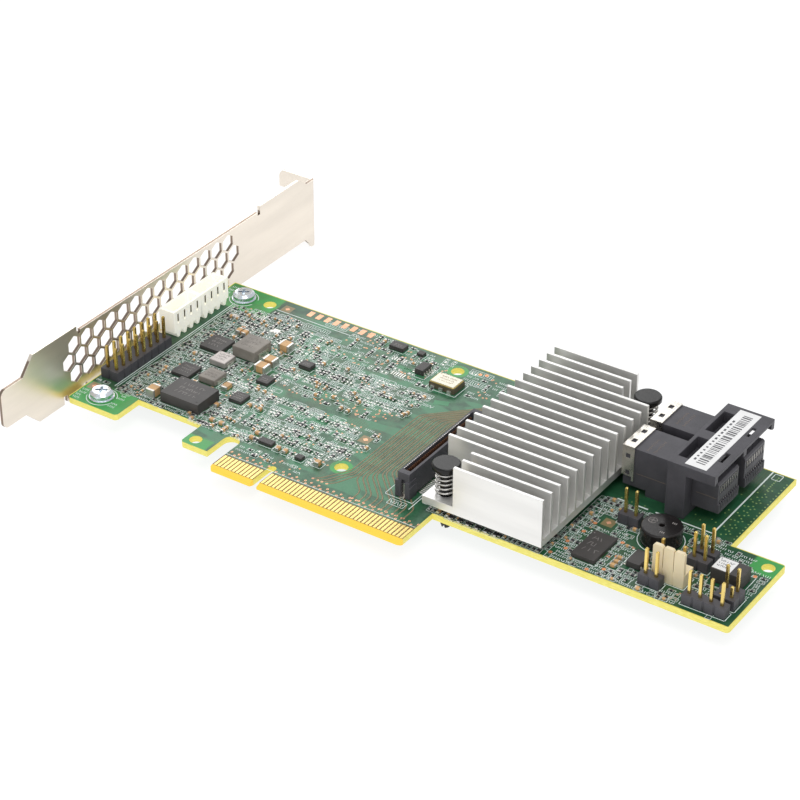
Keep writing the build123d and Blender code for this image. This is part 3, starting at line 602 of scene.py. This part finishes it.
silk_lines += [stroke(x, 40.3, x + 2.2, 40.3, 0.42) for x in (69.5, 74.5, 79.0)]
silk_lines += [stroke(-51.0, 14.5, -51.0, 60.5, 0.2), stroke(-50.4, 14.5, -50.4, 60.5, 0.14)]
silk_lines += [stroke(33.9, 11.2, 33.9, 68.2, 0.22)]
silk_lines += [stroke(-12.0, 6.35, 38.8, 6.35, 0.14), stroke(-40.5, 63.9, -18.5, 63.9, 0.2)]
for x0, x1, y0, y1, z0, z1 in islands("far_header_bases") + islands("key_header_housing"):
    silk_lines += outline(x0 - 0.25, x1 + 0.25, y0 - 0.25, y1 + 0.25, 0.18)
for x0, x1, y0, y1, z0, z1 in islands("clock_module")[:1] + islands("oscillator_case")[:1]:
    silk_lines += outline(x0 - 0.6, x1 + 0.6, y0 - 0.6, y1 + 0.6)

part_ends = []
part_tan = []
part_black = []
tan_share = 0.17
large_via = (0.62, 0.62, 0.016)
small_via = (0.5, 0.5, 0.016)
via_places = [(x, y, 0.0, 0, large_via) for x, y in finger_vias + track_ends]
bare_pads = []
pad_thick = 0.03


def small_part(x, y, along, fitted=True):
    """One chip part between its pads, in its printed box; where not fitted the pads stay bare."""
    long, wide = random.choice([(1.0, 0.5), (1.0, 0.5), (1.3, 0.7)])
    tan = random.random() < tan_share
    high = wide * (0.9 if tan else 0.45)
    turn = 0 if along else 90
    body = part_tan if tan else part_black
    if fitted:
        body.append((x, y, pad_thick, turn, (long * 0.62, wide * 0.96, high)))
    for way in (-1, 1):
        shift = way * long * 0.4
        place = (x + shift, y) if along else (x, y + shift)
        if fitted:
            part_ends.append((*place, 0.0, turn, (long * 0.22, wide * 0.96, high + 0.04)))
        else:
            bare_pads.append((*place, 0.0, turn, (long * 0.30, wide * 0.8, pad_thick)))
    half_x, half_y = (long * 0.5 + 0.33, wide * 0.5 + 0.24)
    if not along:
        half_x, half_y = half_y, half_x
    silk_lines.extend(outline(x - half_x, x + half_x, y - half_y, y + half_y, 0.11))


def label_dashes(x, y, count, tall=0.75, wide=0.13, step=0.5):
    """A short row of slanted marks where the board is marked."""
    for k in range(count):
        lean = random.choice([-25, -10, 0, 10, 25])
        silk_lines.append((x + step * k, y, 0.0, 90 + lean, (tall, wide, silk_thick)))
        if random.random() < 0.5:
            rise = random.choice([-0.35, 0.0, 0.35]) * tall
            silk_lines.append((x + step * k, y + rise, 0.0, 0, (step * 0.7, wide, silk_thick)))


def fill(x0, x1, y0, y1, step_x, step_y, share_part, share_label, share_via):
    """Fills a stretch of the board with rows of chip parts, markings and vias, by their shares."""
    rows = int((y1 - y0) / step_y)
    columns = int((x1 - x0) / step_x)
    for j in range(rows):
        for i in range(columns):
            x = x0 + (i + 0.5) * step_x + random.uniform(-0.12, 0.12)
            y = y0 + (j + 0.5) * step_y + random.uniform(-0.06, 0.06)
            draw = random.random()
            if not clear(x, y, step_x * 0.42, step_y * 0.42):
                continue
            if draw < share_part:
                small_part(x, y, random.random() < 0.7, random.random() < 0.75)
            elif draw < share_part + share_label:
                label_dashes(x - 0.75, y, random.choice([3, 4]))
            elif draw < share_part + share_label + share_via:
                for k in range(random.choice([1, 2, 3])):
                    shift = (random.uniform(-0.8, 0.8), random.uniform(-0.6, 0.6))
                    via_places.append((x + shift[0], y + shift[1], 0.0, 0, small_via))


def bands(x0, x1, y0, y1):
    """Bands along X: two close rows of boxed chip parts, a row of markings, then a bare strip."""
    band_high = 3.4
    row_step = 1.15
    part_step = 0.98
    label_rise = 2.45
    y = y0
    while y + band_high < y1:
        for row in (0.0, row_step):
            x = x0 + random.uniform(0, 0.6)
            while x < x1:
                if clear(x, y + row, 0.7, 0.6) and random.random() < 0.80:
                    small_part(x, y + row, False, random.random() < 0.42)
                    x += part_step
                else:
                    x += random.choice([1.0, 1.6])
        x = x0
        while x < x1:
            if random.random() < 0.62 and clear(x + 1.2, y + label_rise, 1.5, 0.6):
                label_dashes(x, y + label_rise, random.choice([4, 5, 6]), random.choice([0.85, 1.1]))
                if random.random() < 0.5:
                    silk_lines.extend(outline(x - 0.4, x + 3.1, y + 1.75, y + 3.15, 0.12))
                x += 3.6
            else:
                if clear(x, y + 2.5, 0.4, 0.4):
                    rise = 2.3 + random.uniform(-0.3, 0.5)
                    via_places.append((x, y + rise, 0.0, 0, small_via))
                x += random.choice([0.9, 1.5])
        y += random.choice([3.5, 4.3])


# Stretches of the board as x0, x1, y0 and y1. For fill there follow the room for one part along X
# and Y and the shares of the rooms that hold a chip part, a marking or vias.
bands(-18.5, 13.0, 13.2, 35.5)
bands(-18.5, 13.0, 41.5, 54.0)
bands(-30.5, -18.5, 13.2, 62.5)
fill(-49.8, -30.5, 12.9, 63.0, 1.6, 1.25, 0.60, 0.36, 0.04)
fill(-18.5, 13.0, 35.0, 41.5, 2.0, 1.5, 0.25, 0.2, 0.3)
fill(-18.5, 13.5, 54.0, 68.0, 1.9, 1.4, 0.34, 0.30, 0.22)
fill(-11.5, 13.5, 8.4, 12.6, 2.0, 1.4, 0.40, 0.35, 0.1)
fill(14.5, 33.0, 56.2, 68.0, 2.0, 1.5, 0.35, 0.3, 0.2)
fill(66.9, 98.0, 13.2, 39.6, 1.55, 1.2, 0.50, 0.42, 0.04)
fill(98.4, 110.6, 13.4, 37.6, 1.7, 1.25, 0.3, 0.6, 0.03)
fill(34.5, 68.0, 15.2, 25.5, 2.0, 1.5, 0.4, 0.1, 0.3)
fill(-56.5, -43.6, 5.0, 12.9, 1.9, 1.25, 0.0, 0.85, 0.0)
fill(-47.0, -38.5, 60.2, 68.4, 2.2, 1.5, 0.0, 0.6, 0.0)
fill(-56.6, -49.9, 60.2, 68.4, 2.2, 1.5, 0.0, 0.6, 0.0)
fill(-56.4, -51.2, 12.6, 15.6, 1.9, 1.25, 0.3, 0.6, 0.0)
fill(68.9, 80.0, 40.6, 68.2, 2.6, 2.2, 0.1, 0.1, 0.3)

# The boxed rows of larger marks, each as the x and y of its first mark and its number of marks.
large_marks = [(-4.2, 45.9, 6), (-4.2, 50.3, 6), (-4.5, 23.2, 7), (-38.5, 61.8, 8), (-30.0, 61.8, 11)]
large_marks += [(6.5, 19.4, 7), (29.0, 11.6, 6), (-12, 52.9, 8), (-14.5, 37.0, 8), (-9.0, 31.1, 9)]
large_marks += [(100.2, 33.0, 9), (-26.0, 65.6, 9), (14.9, 66.6, 9), (17.0, 62.4, 7)]
mark_step = 0.6
for x0, y0, count in large_marks:
    label_dashes(x0, y0, count, 1.2, 0.15, mark_step)
    silk_lines += outline(x0 - mark_step, x0 + mark_step * count, y0 - 1.0, y0 + 1.0, 0.13)

# A comb of short strokes goes round the power module.
comb_step = 0.55
comb_stroke = (0.45, 0.22, silk_thick)
for x0, x1, y0, y1, z0, z1 in islands("power_module"):
    for k in range(int((x1 - x0) / comb_step)):
        x = x0 + 0.4 + comb_step * k
        silk_lines += [(x, y, 0.0, 90, comb_stroke) for y in (y0 - comb_step, y1 + comb_step)]
    for k in range(int((y1 - y0) / comb_step)):
        silk_lines.append((x1 + comb_step, y0 + 0.4 + comb_step * k, 0.0, 0, comb_stroke))

# Rows of small parts stand at the foot of the heat sink, along its lower and its right side.
foot_row_y = 13.9
for k in range(24):
    small_part(37.6 + 1.2 * k, foot_row_y, False)
for k in range(15):
    y = 15.9 + 1.62 * k
    for x in (65.1, 66.4):
        if clear(x, y, 0.6, 0.8):
            small_part(x, y, False, random.random() < 0.6)

# Bare copper dots as x and y, then rows of covered vias beyond the ports as x, the lowest y, the
# step and the count, then the lands and bare pads without parts.
copper_dot_places = [(69.5, 25.5), (68.5, 20.5), (69.5, 18), (70, 29.5), (78.5, 26.5), (80, 21.5)]
copper_dot_places += [(78.5, 20.5), (80, 16), (77, 14), (107.5, 31.5), (67.5, 15), (17, 66.5), (18.5, 67)]
dot_rows = [(94.4, 41.0, 2.1, 9), (95.3, 41.6, 1.4, 15), (96.0, 42.2, 2.8, 8)]
dot_rows += [(97.6, 41.0, 1.3, 20), (94.9, 61.5, 0.8, 8), (93.6, 44.0, 3.1, 7)]
dot_places = []
for x, low, step, count in dot_rows:
    for k in range(count):
        dot_places.append((x, low + step * k, 0.0, 0, (0.42, 0.42, 0.016)))
for k in range(40):
    x = random.uniform(69, 92)
    dot_places.append((x, random.uniform(40.7, 68), 0.0, 0, (0.4, 0.4, 0.016)))
land_step = 2.55
lands = [(-32.3 + land_step * k, 66.85, 0.0, 0, (1.35, 2.3, pad_thick)) for k in range(8)]
for x in (-47.0, -34.8):
    bare_pads.append((x, 55.5, 0.0, 0, (2.3, 1.8, pad_thick)))
pad_step = 0.65
pad_rows = [(-44, -40, 57.6, 59.6), (-44, -40, 53, 54.6), (-4.5, -0.5, 60.6, 62.2), (-1, 3, 55, 56.6)]
for x0, x1, y0, y1 in pad_rows:
    for k in range(int((x1 - x0) / pad_step)):
        x = x0 + (k + 0.5) * pad_step
        bare_pads.append((x, (y0 + y1) / 2, 0.0, 0, (0.26, y1 - y0, pad_thick)))
copper_pads = [(x, y, 0.0, 0, (2.8, 2.8, 0.012)) for x, y in copper_spots]
lands += [(x, y, 0.012, 45, (0.95, 0.95, 0.02)) for x, y in copper_spots]
bar_sizes = [(1.2, 58.7, 0, 4.5, 1.4), (-2.5, 28.7, 0, 5.0, 1.4)]
bar_sizes += [(-1.0, 21.2, 0, 4.0, 1.4), (16.2, 51.0, 20, 3.6, 1.8)]
green_bars = [(x, y, 0.0, turn, (long, wide, 0.02)) for x, y, turn, long, wide in bar_sizes]
bar_finish = varied("covered_bar", (0.045, 0.26, 0.11), 0.4, tone=0.1, depth=0.006)
stamps("masked_bars", green_bars, tile(), bar_finish, "solder_mask")
stamps("fiducial_squares", copper_pads, tile(), under_mask, "solder_mask")
stamps("copper_lands", lands, tile(), salmon, "gold")
copper_dots = [(x, y, 0.0, 0, (0.95, 0.95, 0.022)) for x, y in copper_dot_places]
stamps("copper_dots", copper_dots, disc(10), copper, "gold")
via_green = varied("tented_vias", (0.25, 0.40, 0.14), 0.4, tone=0.15, depth=0.006)
stamps("tented_vias", dot_places, disc(8), via_green, "gold")
stamps("board_vias", via_places, disc(8, 0.4), salmon, "gold")
stamps("bare_pads", bare_pads, slab(), tinned, "tin")
stamps("silk_strokes", silk_lines, slab(), silk, "white_label")

screw_places = [(-50.45, 9.0), (-50.45, 63.7)]
silk_rings = [arc(84.85, 31.9, 5.15, 0, 345)]
silk_rings += [arc(x, y, 3.6, 20 + turn, 160 + turn) for x, y in screw_places for turn in (0, 180)]
ribbons("silk_rings", silk_rings, 0.2, 0.02, 0.0, silk, "white_label", bend=0.01)

tan_body = varied("ceramic_tan_grain", (0.66, 0.40, 0.18), 0.5, tone=0.18, grain=3, depth=0.01)
black_body = varied("resistor_glaze", (0.035, 0.035, 0.04), 0.35, tone=0.2, grain=2, depth=0.006)
stamps("small_part_ends", part_ends, tile(), tinned, "tin")
stamps("small_tan_bodies", part_tan, tile(), tan_body, "ceramic_tan")
stamps("small_black_bodies", part_black, tile(), black_body, "chip_black")


# Edge contacts: copper fingers plated with hard gold, flush on both faces of the board.
# They are etched and plated with the board, whose lower edge is bevelled below them.
gold = varied("hard_gold", (0.68, 0.52, 0.185), 0.30, metal=1.0, tone=0.08, grain=1.2, depth=0.004)
eased("edge_contacts", 0.02, gold, "gold", 1)


# Mounting bracket: one sheet of nickel plated steel, punched with hexagonal vents and folded.
# The rolling lines of the sheet show faintly under the plating.
# The walls of the vents are darkened with painted shade, in place of the dark look they take from
# mirroring one another.
nickel = varied("rolled_nickel", (0.83, 0.76, 0.67), 0.36, metal=1.0, tone=0.05, grain=1.0,
                depth=0.006, stretch=(1, 0.15, 1))
nickel_x, nickel_y, nickel_z = nickel.axes()
bracket_gap = 1.15
bracket_sheet = 0.86
face_margin = 0.1
vent_low = -4.6
vent_high = 14.3
strip_outer = board_left - bracket_gap - bracket_sheet
strip_inner = strip_outer + bracket_sheet
# Painted shade: faces inside the sheet, between its two faces and within the height of the vents, are
# darkened.
vent_wall_shade = nickel.within(nickel_x, strip_outer + face_margin, strip_inner - face_margin, 0.03)
vent_wall_shade = vent_wall_shade * nickel.within(nickel_z, vent_low, vent_high)
plain_nickel = Value(nickel, nickel.shader.inputs["Base Color"].links[0].from_socket)
nickel.give("Base Color", nickel.colour(vent_wall_shade * 0.85, plain_nickel, rgb(0.17, 0.11, 0.075)))
eased("mounting_bracket", 0.09, nickel, "nickel_sheet")


# Bracket screws: zinc plated steel, pan heads with a cross recess pressed in.
# Both go through the board into the bracket's ears below it.
zinc = varied("bright_zinc", (0.74, 0.80, 0.86), 0.22, metal=1.0, tone=0.1, grain=1.4, depth=0.006)
eased("bracket_screws", 0.05, zinc, "zinc_screw")


# Controller chip, its soft pad and the heat sink: a sealed package under an aluminium extrusion
# with seventeen sawn fins. The sink is held down by two push pins through cut-back corners.
chip_black = varied("chip_mould", (0.052, 0.047, 0.045), 0.46, tone=0.14, grain=4, depth=0.01)
pad_grey = varied("soft_pad", (0.35, 0.36, 0.37), 0.8, tone=0.1, grain=2, depth=0.03)
alloy = varied("extruded_aluminium", (0.84, 0.835, 0.815), 0.40, metal=0.75, tone=0.05, grain=1.5,
               depth=0.01, stretch=(0.12, 1, 1))
eased("controller_chip", 0.08, chip_black, "chip_black")
eased("thermal_pad", 0.04, pad_grey, "pad_grey")
eased("heat_sink", 0.07, alloy, "aluminium")


# Push pins and their springs: nylon pins with round caps, and wound steel wire under each cap.
# Barbs below the board hold the pins, and the springs press the sink on the chip.
nylon = varied("black_nylon_grain", (0.010, 0.010, 0.010), 0.22, tone=0.1, grain=2, depth=0.006,
               more={"Specular IOR Level": 0.3})
wire = varied("drawn_steel", (0.52, 0.51, 0.49), 0.22, metal=1.0, tone=0.08, grain=3, depth=0.004)
eased("push_pins", 0.08, nylon, "black_nylon")


def coils(name, places, radius, low, high, turns, thick, finish, slot, node):
    """Round wire wound up from low to high in mm, one coil at every place."""
    steps = 24 * turns
    sides = 8
    work = bmesh.new()
    for x, y in places:
        rings = []
        for k in range(steps + 1):
            turn = 2 * math.pi * turns * k / steps
            rise = low + thick / 2 + (high - low - thick) * k / steps
            centre = Vector((x + radius * math.cos(turn), y + radius * math.sin(turn), rise))
            outward = Vector((math.cos(turn), math.sin(turn), 0))
            ring = []
            for j in range(sides):
                roll = 2 * math.pi * j / sides
                offset = outward * math.cos(roll) + Vector((0, 0, math.sin(roll)))
                ring.append(work.verts.new((centre + offset * thick / 2) * MM))
            rings.append(ring)
        for first, second in zip(rings, rings[1:]):
            for j in range(sides):
                work.faces.new((first[j], first[(j + 1) % sides], second[(j + 1) % sides], second[j]))
        work.faces.new(rings[0])
        work.faces.new(rings[-1])
    bmesh.ops.recalc_face_normals(work, faces=work.faces)
    return shown(name, crisp(name, work), finish, slot, node)


pin_places = [(40.4, 16.0), (63.0, 63.8)]
coil_radius = 2.24
coil_low = 4.2
coil_high = 10.3
coil_turns = 5
coil_wire = 0.5
coils("pin_coils", pin_places, coil_radius, coil_low, coil_high, coil_turns, coil_wire, wire,
      "spring_steel", "push_pin_springs")


# Cable ports: a moulded black housing with an open hood, contact towers with comb slots, bent tin
# shields at the back and a white sticker across the top.
moulded = varied("moulded_black", (0.068, 0.066, 0.077), 0.50, tone=0.16, grain=3, depth=0.018)
tin = varied("bright_tin", (0.80, 0.765, 0.70), 0.28, metal=1.0, tone=0.08, grain=1.5, depth=0.008)
paper = varied("sticker_paper", (0.90, 0.90, 0.90), 0.5, tone=0.03, grain=3, depth=0.004)
ink = varied("sticker_ink", (0.10, 0.10, 0.11), 0.5, tone=0.1, grain=3, depth=0.002)
eased("port_housing", 0.10, moulded, "connector_black")
eased("port_towers", 0.05, moulded, "connector_black")
eased("port_contacts", 0.03, gold, "gold", 1)
eased("port_shields", 0.05, tin, "tin")
eased("port_label", 0.03, paper, "white_label")

# Plain bars and a row of dots on the sticker.
label_top = 13.78
bar_x = 86.9
dot_x = 85.0
bars = []
bar_y = 44.0
while bar_y < 66.0:
    wide = random.choice([0.18, 0.3, 0.45])
    bars.append((bar_x, bar_y, label_top, 0, (2.2, wide, 0.02)))
    bar_y += wide + random.choice([0.22, 0.35, 0.5])
for k in range(14):
    bars.append((dot_x, 45.0 + 1.35 * k, label_top, 0, (0.5, random.choice([0.5, 0.8]), 0.02)))
stamps("label_bars", bars, tile(), ink, "chip_black")

# Bright tips on the contact blades, at the mouth of the comb slots.
tip_x = 91.35
tips = []
for x0, x1, y0, y1, z0, z1 in islands("port_contacts"):
    tips.append((tip_x, (y0 + y1) / 2 + 0.23, z0 + 0.5, 0, (0.24, 0.12, 1.5)))
stamps("contact_tips", tips, tile(), tin, "tin")

# A parting line along the lower side of the housing and faint moulded marks on its two rear blocks.
block_side = 44.27
block_top = 11.4
grooves = [(76.0, block_side, 5.1, 0, (9.0, 0.05, 0.12)), (88.6, block_side, 6.0, 0, (5.0, 0.05, 0.12))]
faded = varied("faded_print", (0.17, 0.13, 0.105), 0.6, tone=0.15, grain=3, depth=0.003)
stamps("housing_grooves", grooves, tile(), faded, "connector_black")
port_marks = []
for y0 in (45.2, 58.2):
    for row in range(2):
        for k in range(9):
            place = (73.4 + 1.7 * row, y0 + 0.62 * k, block_top, random.choice([-20, 0, 20, 90]))
            port_marks.append((*place, (0.75, 0.13, 0.015)))
stamps("housing_marks", port_marks, slab(), faded, "connector_black")


# Mezzanine connector: a long moulded socket with two rows of tinned leads soldered to the board,
# bronze wipers inside its slot and tin board locks at its ends.
eased("slot_housing", 0.08, moulded, "connector_black")
eased("slot_lock", 0.04, tin, "tin")
eased("slot_contacts", 0.03, tin, "tin", 1)
slot_middle = 30
tails = []
for x0, x1, y0, y1, z0, z1 in islands("slot_contacts"):
    if x0 > slot_middle:
        tails.append((x1 + 0.7, (y0 + y1) / 2, 0.0, 0, (1.9, 0.32, 0.22)))
# Painted highlight: the solder is pale and nearly matt, in place of the bright reflections of the real
# metal.
solder_sheen = varied("solder_painted_sheen", (0.82, 0.81, 0.78), 0.35, metal=0.25, tone=0.08, grain=2, depth=0.006)
stamps("slot_solder_tails", tails, tile(), solder_sheen, "tin")
wiper_start = 16.3
wiper_step = 0.635
wiper_size = (0.35, 0.3, 4.6)
wipers = []
for k in range(42):
    y = wiper_start + wiper_step * k
    wipers += [(x, y, 1.0, 0, wiper_size) for x in (29.75, 30.95)]
brown = varied("wiper_bronze", (0.24, 0.12, 0.07), 0.4, metal=0.4, tone=0.15, grain=2, depth=0.01)
stamps("slot_wipers", wipers, tile(), brown, "gold")
rests = [(x - 0.42, y, 5.7, turn, (0.16, 0.3, 0.62)) for x, y, z, turn, size in wipers
         if x < slot_middle]
stamps("slot_wiper_tips", rests, slab(), tinned, "tin")


# Pin headers: black moulded bases with square gold posts pressed through, soldered underneath.
# The long one stands by the bracket, the short ones at the far end.
eased("io_header_base", 0.10, moulded, "connector_black")
eased("far_header_bases", 0.10, moulded, "connector_black")
post_gold = varied("drawn_gold", (0.86, 0.60, 0.20), 0.22, metal=1.0, tone=0.30, grain=0.8,
                   depth=0.05, stretch=(1, 1, 0.25))
eased("io_header_posts", 0.05, post_gold, "gold")
eased("far_header_posts", 0.05, post_gold, "gold")


# Cream header and white wafer connectors: nylon mouldings pressed onto their posts and soldered
# through the board. The header's posts are gold, the wafer connectors' pins tin.
cream = varied("cream_resin_grain", (0.86, 0.74, 0.50), 0.42, tone=0.04, grain=2, depth=0.006,
               more={"Subsurface Weight": 0.15, "Subsurface Radius": (0.001, 0.0008, 0.0004)})
# Painted glow: the white nylon gives off a faint warm light of its own, in place of light shining through
# it.
glowing_white = varied("white_nylon_glow", (0.97, 0.95, 0.84), 0.42, tone=0.03, grain=2, depth=0.006,
               more={"Subsurface Weight": 0.15, "Subsurface Radius": (0.001, 0.0009, 0.0006),
                     "Emission Color": rgb(1.0, 0.98, 0.88), "Emission Strength": 0.26})
eased("key_header_housing", 0.10, cream, "cream_resin")
eased("key_header_posts", 0.05, post_gold, "gold")
eased("wafer_housings", 0.10, glowing_white, "white_nylon")
eased("wafer_pins", 0.05, tin, "tin")
shade = varied("slot_shade", (0.13, 0.11, 0.075), 0.6, tone=0.2, grain=2, depth=0.004)
wafer_long = 10.6
wafer_step = 2.5
slots = []
for x0, x1, y0, y1, z0, z1 in islands("wafer_housings"):
    for low in (y0, y1 - wafer_long):
        slots += [(x1, low + 0.3 + (k + 0.5) * wafer_step, 4.3, 0, (0.03, 0.5, 2.0)) for k in range(4)]
stamps("wafer_slots", slots, slab(), shade, "white_nylon")


# Buzzer: a round moulded case with one sound hole, soldered to the board.
# A circle with a cross and a few dashes are printed on its top.
gloss_black = varied("glossy_case", (0.014, 0.012, 0.012), 0.20, tone=0.1, grain=2, depth=0.006,
                     more={"Specular IOR Level": 0.35})
faint = varied("faint_print", (0.27, 0.25, 0.24), 0.5, tone=0.15, grain=3, depth=0.003)
eased("buzzer", 0.16, gloss_black, "connector_black")
buzzer_x0, buzzer_x1, buzzer_y0, buzzer_y1, buzzer_z0, buzzer_high = islands("buzzer")[0]
buzzer_x = (buzzer_x0 + buzzer_x1) / 2
buzzer_y = (buzzer_y0 + buzzer_y1) / 2
cross_x = buzzer_x - 2.5
cross_y = buzzer_y + 0.5
marks = [(cross_x, cross_y, buzzer_high, turn, (1.3, 0.16, 0.02)) for turn in (0, 90)]
for start_x, y in ((buzzer_x + 1.6, buzzer_y + 1.9), (buzzer_x + 0.9, buzzer_y - 2.4)):
    marks += [(start_x + 0.4 * k, y, buzzer_high, 90, (0.6, 0.2, 0.02)) for k in range(3)]
stamps("buzzer_marks", marks, slab(), faint, "white_label")
cross_ring = arc(cross_x, cross_y, 0.95, 0, 345)
ribbons("buzzer_ring", [cross_ring], 0.16, 0.02, buzzer_high, faint, "white_label", bend=0.01)


# Moulded chips: power module, power stages, logic, memory and the two eight-lead packages.
# Black epoxy is moulded over each chip, and the packages are soldered flat on the board.
for node in ("power_module", "power_chips", "logic_chips", "memory_chip", "eight_lead_chips"):
    eased(node, 0.07, chip_black, "chip_black")
eased("eight_lead_legs", 0.04, tin, "tin")


def prints(node, finish, share=0.5, least=2.0):
    """Plain dashes on top of every solid of a node that is large enough, with a dot in a corner."""
    lines = []
    for x0, x1, y0, y1, z0, z1 in islands(node):
        wide = x1 - x0
        deep = y1 - y0
        if min(wide, deep) < least:
            continue
        rows = 3 if deep > 3.5 else 2
        tall = deep * 0.11
        for row in range(rows):
            y = y0 + deep * (0.30 + 0.22 * row)
            x = x0 + wide * (1 - share) / 2
            while x < x1 - wide * (1 - share) / 2:
                step = tall * random.choice([0.7, 0.9, 1.2])
                lines.append((x, y, z1, 90 + random.choice([-20, 0, 0, 20]), (tall, 0.12, 0.012)))
                if random.random() < 0.5:
                    rise = random.choice([-0.5, 0, 0.5]) * tall
                    lines.append((x + step / 2, y + rise, z1, 0, (step, 0.1, 0.012)))
                x += step
        lines.append((x0 + wide * 0.1, y1 - deep * 0.1, z1, 45, (0.3, 0.3, 0.012)))
    stamps(node + "_print", lines, slab(), finish, "white_label")


for node in ("power_module", "power_chips", "logic_chips", "memory_chip"):
    prints(node, faint, least=2.4 if node == "logic_chips" else 2.0)


# Timekeeping module: a tall moulded block on short leads, with a sticker. Oscillator: a ceramic
# case with a metal lid on a gold rim, soldered on pads along its sides.
eased("clock_module", 0.10, chip_black, "chip_black")
eased("clock_label", 0.02, paper, "white_label")
prints("clock_label", ink, 0.7)
ceramic = varied("dark_ceramic", (0.10, 0.085, 0.05), 0.5, tone=0.1, grain=2, depth=0.008)
lid_finish = varied("oscillator_plate", (0.68, 0.66, 0.55), 0.38, metal=0.6, tone=0.05, grain=2,
                    depth=0.006)
eased("oscillator_case", 0.10, ceramic, "chip_black")
eased("oscillator_lid", 0.08, lid_finish, "lid_cream")
rust = varied("brown_print", (0.42, 0.27, 0.17), 0.5, tone=0.1, grain=2, depth=0.003)
prints("oscillator_lid", rust, 0.6)
osc_x0, osc_x1, osc_y0, osc_y1, osc_z0, osc_high = islands("oscillator_case")[0]
inset = 0.3
rim = [(osc_x0 + inset, osc_y0 + inset), (osc_x1 - inset, osc_y0 + inset)]
rim += [(osc_x1 - inset, osc_y1 - inset), (osc_x0 + inset, osc_y1 - inset)]
ribbons("oscillator_rim", [rim], 0.34, 0.2, osc_high, gold, "gold", bend=0.3, closed=True)
feet = []
for x in (osc_x0 + 1.2, (osc_x0 + osc_x1) / 2, osc_x1 - 1.2):
    feet += [(x, y, 0.0, 0, (1.1, 0.5, 0.9)) for y in (osc_y0 - 0.12, osc_y1 + 0.12)]
stamps("oscillator_pads", feet, tile(), tinned, "tin")


# Inductors: pressed iron powder blocks with tin terminals folded up their sides. The silvery one
# has a plated case. Dark dashes are printed on top.
powder = varied("pressed_powder", (0.27, 0.245, 0.215), 0.5, tone=0.2, grain=6, depth=0.03)
silvered = varied("silver_shield", (0.50, 0.46, 0.44), 0.42, metal=0.6, tone=0.08, grain=3, depth=0.015)
eased("power_inductors", 0.25, powder, "inductor_grey")
eased("plated_inductor", 0.2, silvered, "inductor_silver")
eased("inductor_ends", 0.03, tin, "tin")
dark_print = varied("dark_print", (0.16, 0.14, 0.13), 0.5, tone=0.1, grain=2, depth=0.003)
prints("power_inductors", dark_print, 0.55)
prints("plated_inductor", dark_print, 0.6)


# Ceramic capacitors and chip resistors: fired bodies between tinned ends, soldered flat.
# These are the larger ones; the smallest are laid out with the print on the board.
eased("capacitor_bodies", 0.06, tan_body, "ceramic_tan")
eased("capacitor_ends", 0.08, tinned, "tin")
eased("resistor_bodies", 0.04, black_body, "chip_black")
eased("resistor_ends", 0.05, tinned, "tin")


# Studio: a pale floor just under the card, an even white surround and soft boxes. The one behind
# the bracket is what pales the left half of the board.
floor_mesh = bpy.data.meshes.new("floor")
floor_side = 2.5
floor_gap = 0.0001
floor_z = cad_box[0][2] - floor_gap
corners = [(-1, -1), (1, -1), (1, 1), (-1, 1)]
floor_points = [(x * floor_side, y * floor_side, floor_z) for x, y in corners]
floor_mesh.from_pydata(floor_points, [], [(0, 1, 2, 3)])
floor_finish = Finish("pale_floor", {"Roughness": 0.9, "Emission Strength": 0.85})
floor_tone = floor_finish.noise(0.02, 2.0)
floor_white = floor_finish.colour(floor_tone, rgb(0.22, 0.22, 0.22), rgb(0.23, 0.23, 0.23))
floor_finish.give("Base Color", floor_white)
floor_finish.give("Emission Color", rgb(1, 1, 1))
floor_mesh.materials.append(floor_finish.material)
floor = bpy.data.objects.new("floor", floor_mesh)
bpy.context.scene.collection.objects.link(floor)

world = bpy.data.worlds.new("surround")
bpy.context.scene.world = world
world.use_nodes = True
world.node_tree.nodes["Background"].inputs["Color"].default_value = (1.0, 1.0, 1.0, 1.0)
world.node_tree.nodes["Background"].inputs["Strength"].default_value = 0.68


def soft_box(name, place, target, wide, deep, power):
    """An area light at a place, aimed at a target; lengths in metres, power in watts."""
    light = bpy.data.lights.new(name, "AREA")
    light.shape = "RECTANGLE"
    light.size = wide
    light.size_y = deep
    light.energy = power
    lamp = bpy.data.objects.new(name, light)
    lamp.location = place
    aim = Vector(target) - Vector(place)
    lamp.rotation_euler = aim.to_track_quat("-Z", "Y").to_euler()
    bpy.context.scene.collection.objects.link(lamp)


soft_box("overhead", (0.25, -0.15, 0.9), (0.02, 0.03, 0), 0.5, 0.5, 2.2)
soft_box("front_fill", (0.1, -0.9, 0.35), (0.03, 0.03, 0), 0.7, 0.4, 0.9)
soft_box("far_left", (-0.55, 0.66, 0.44), (-0.02, 0.04, 0), 0.55, 0.35, 1.6)

camera_data = bpy.data.cameras.new("camera")
camera_data.lens = 115.076
camera_data.sensor_width = 36
camera = bpy.data.objects.new("camera", camera_data)
camera.location = (0.287346, -0.367241, 0.318251)
camera.rotation_euler = [math.radians(turn) for turn in (57.504, -0.065, 34.095)]
bpy.context.scene.collection.objects.link(camera)
bpy.context.scene.camera = camera
bpy.context.scene.view_settings.view_transform = "Standard"
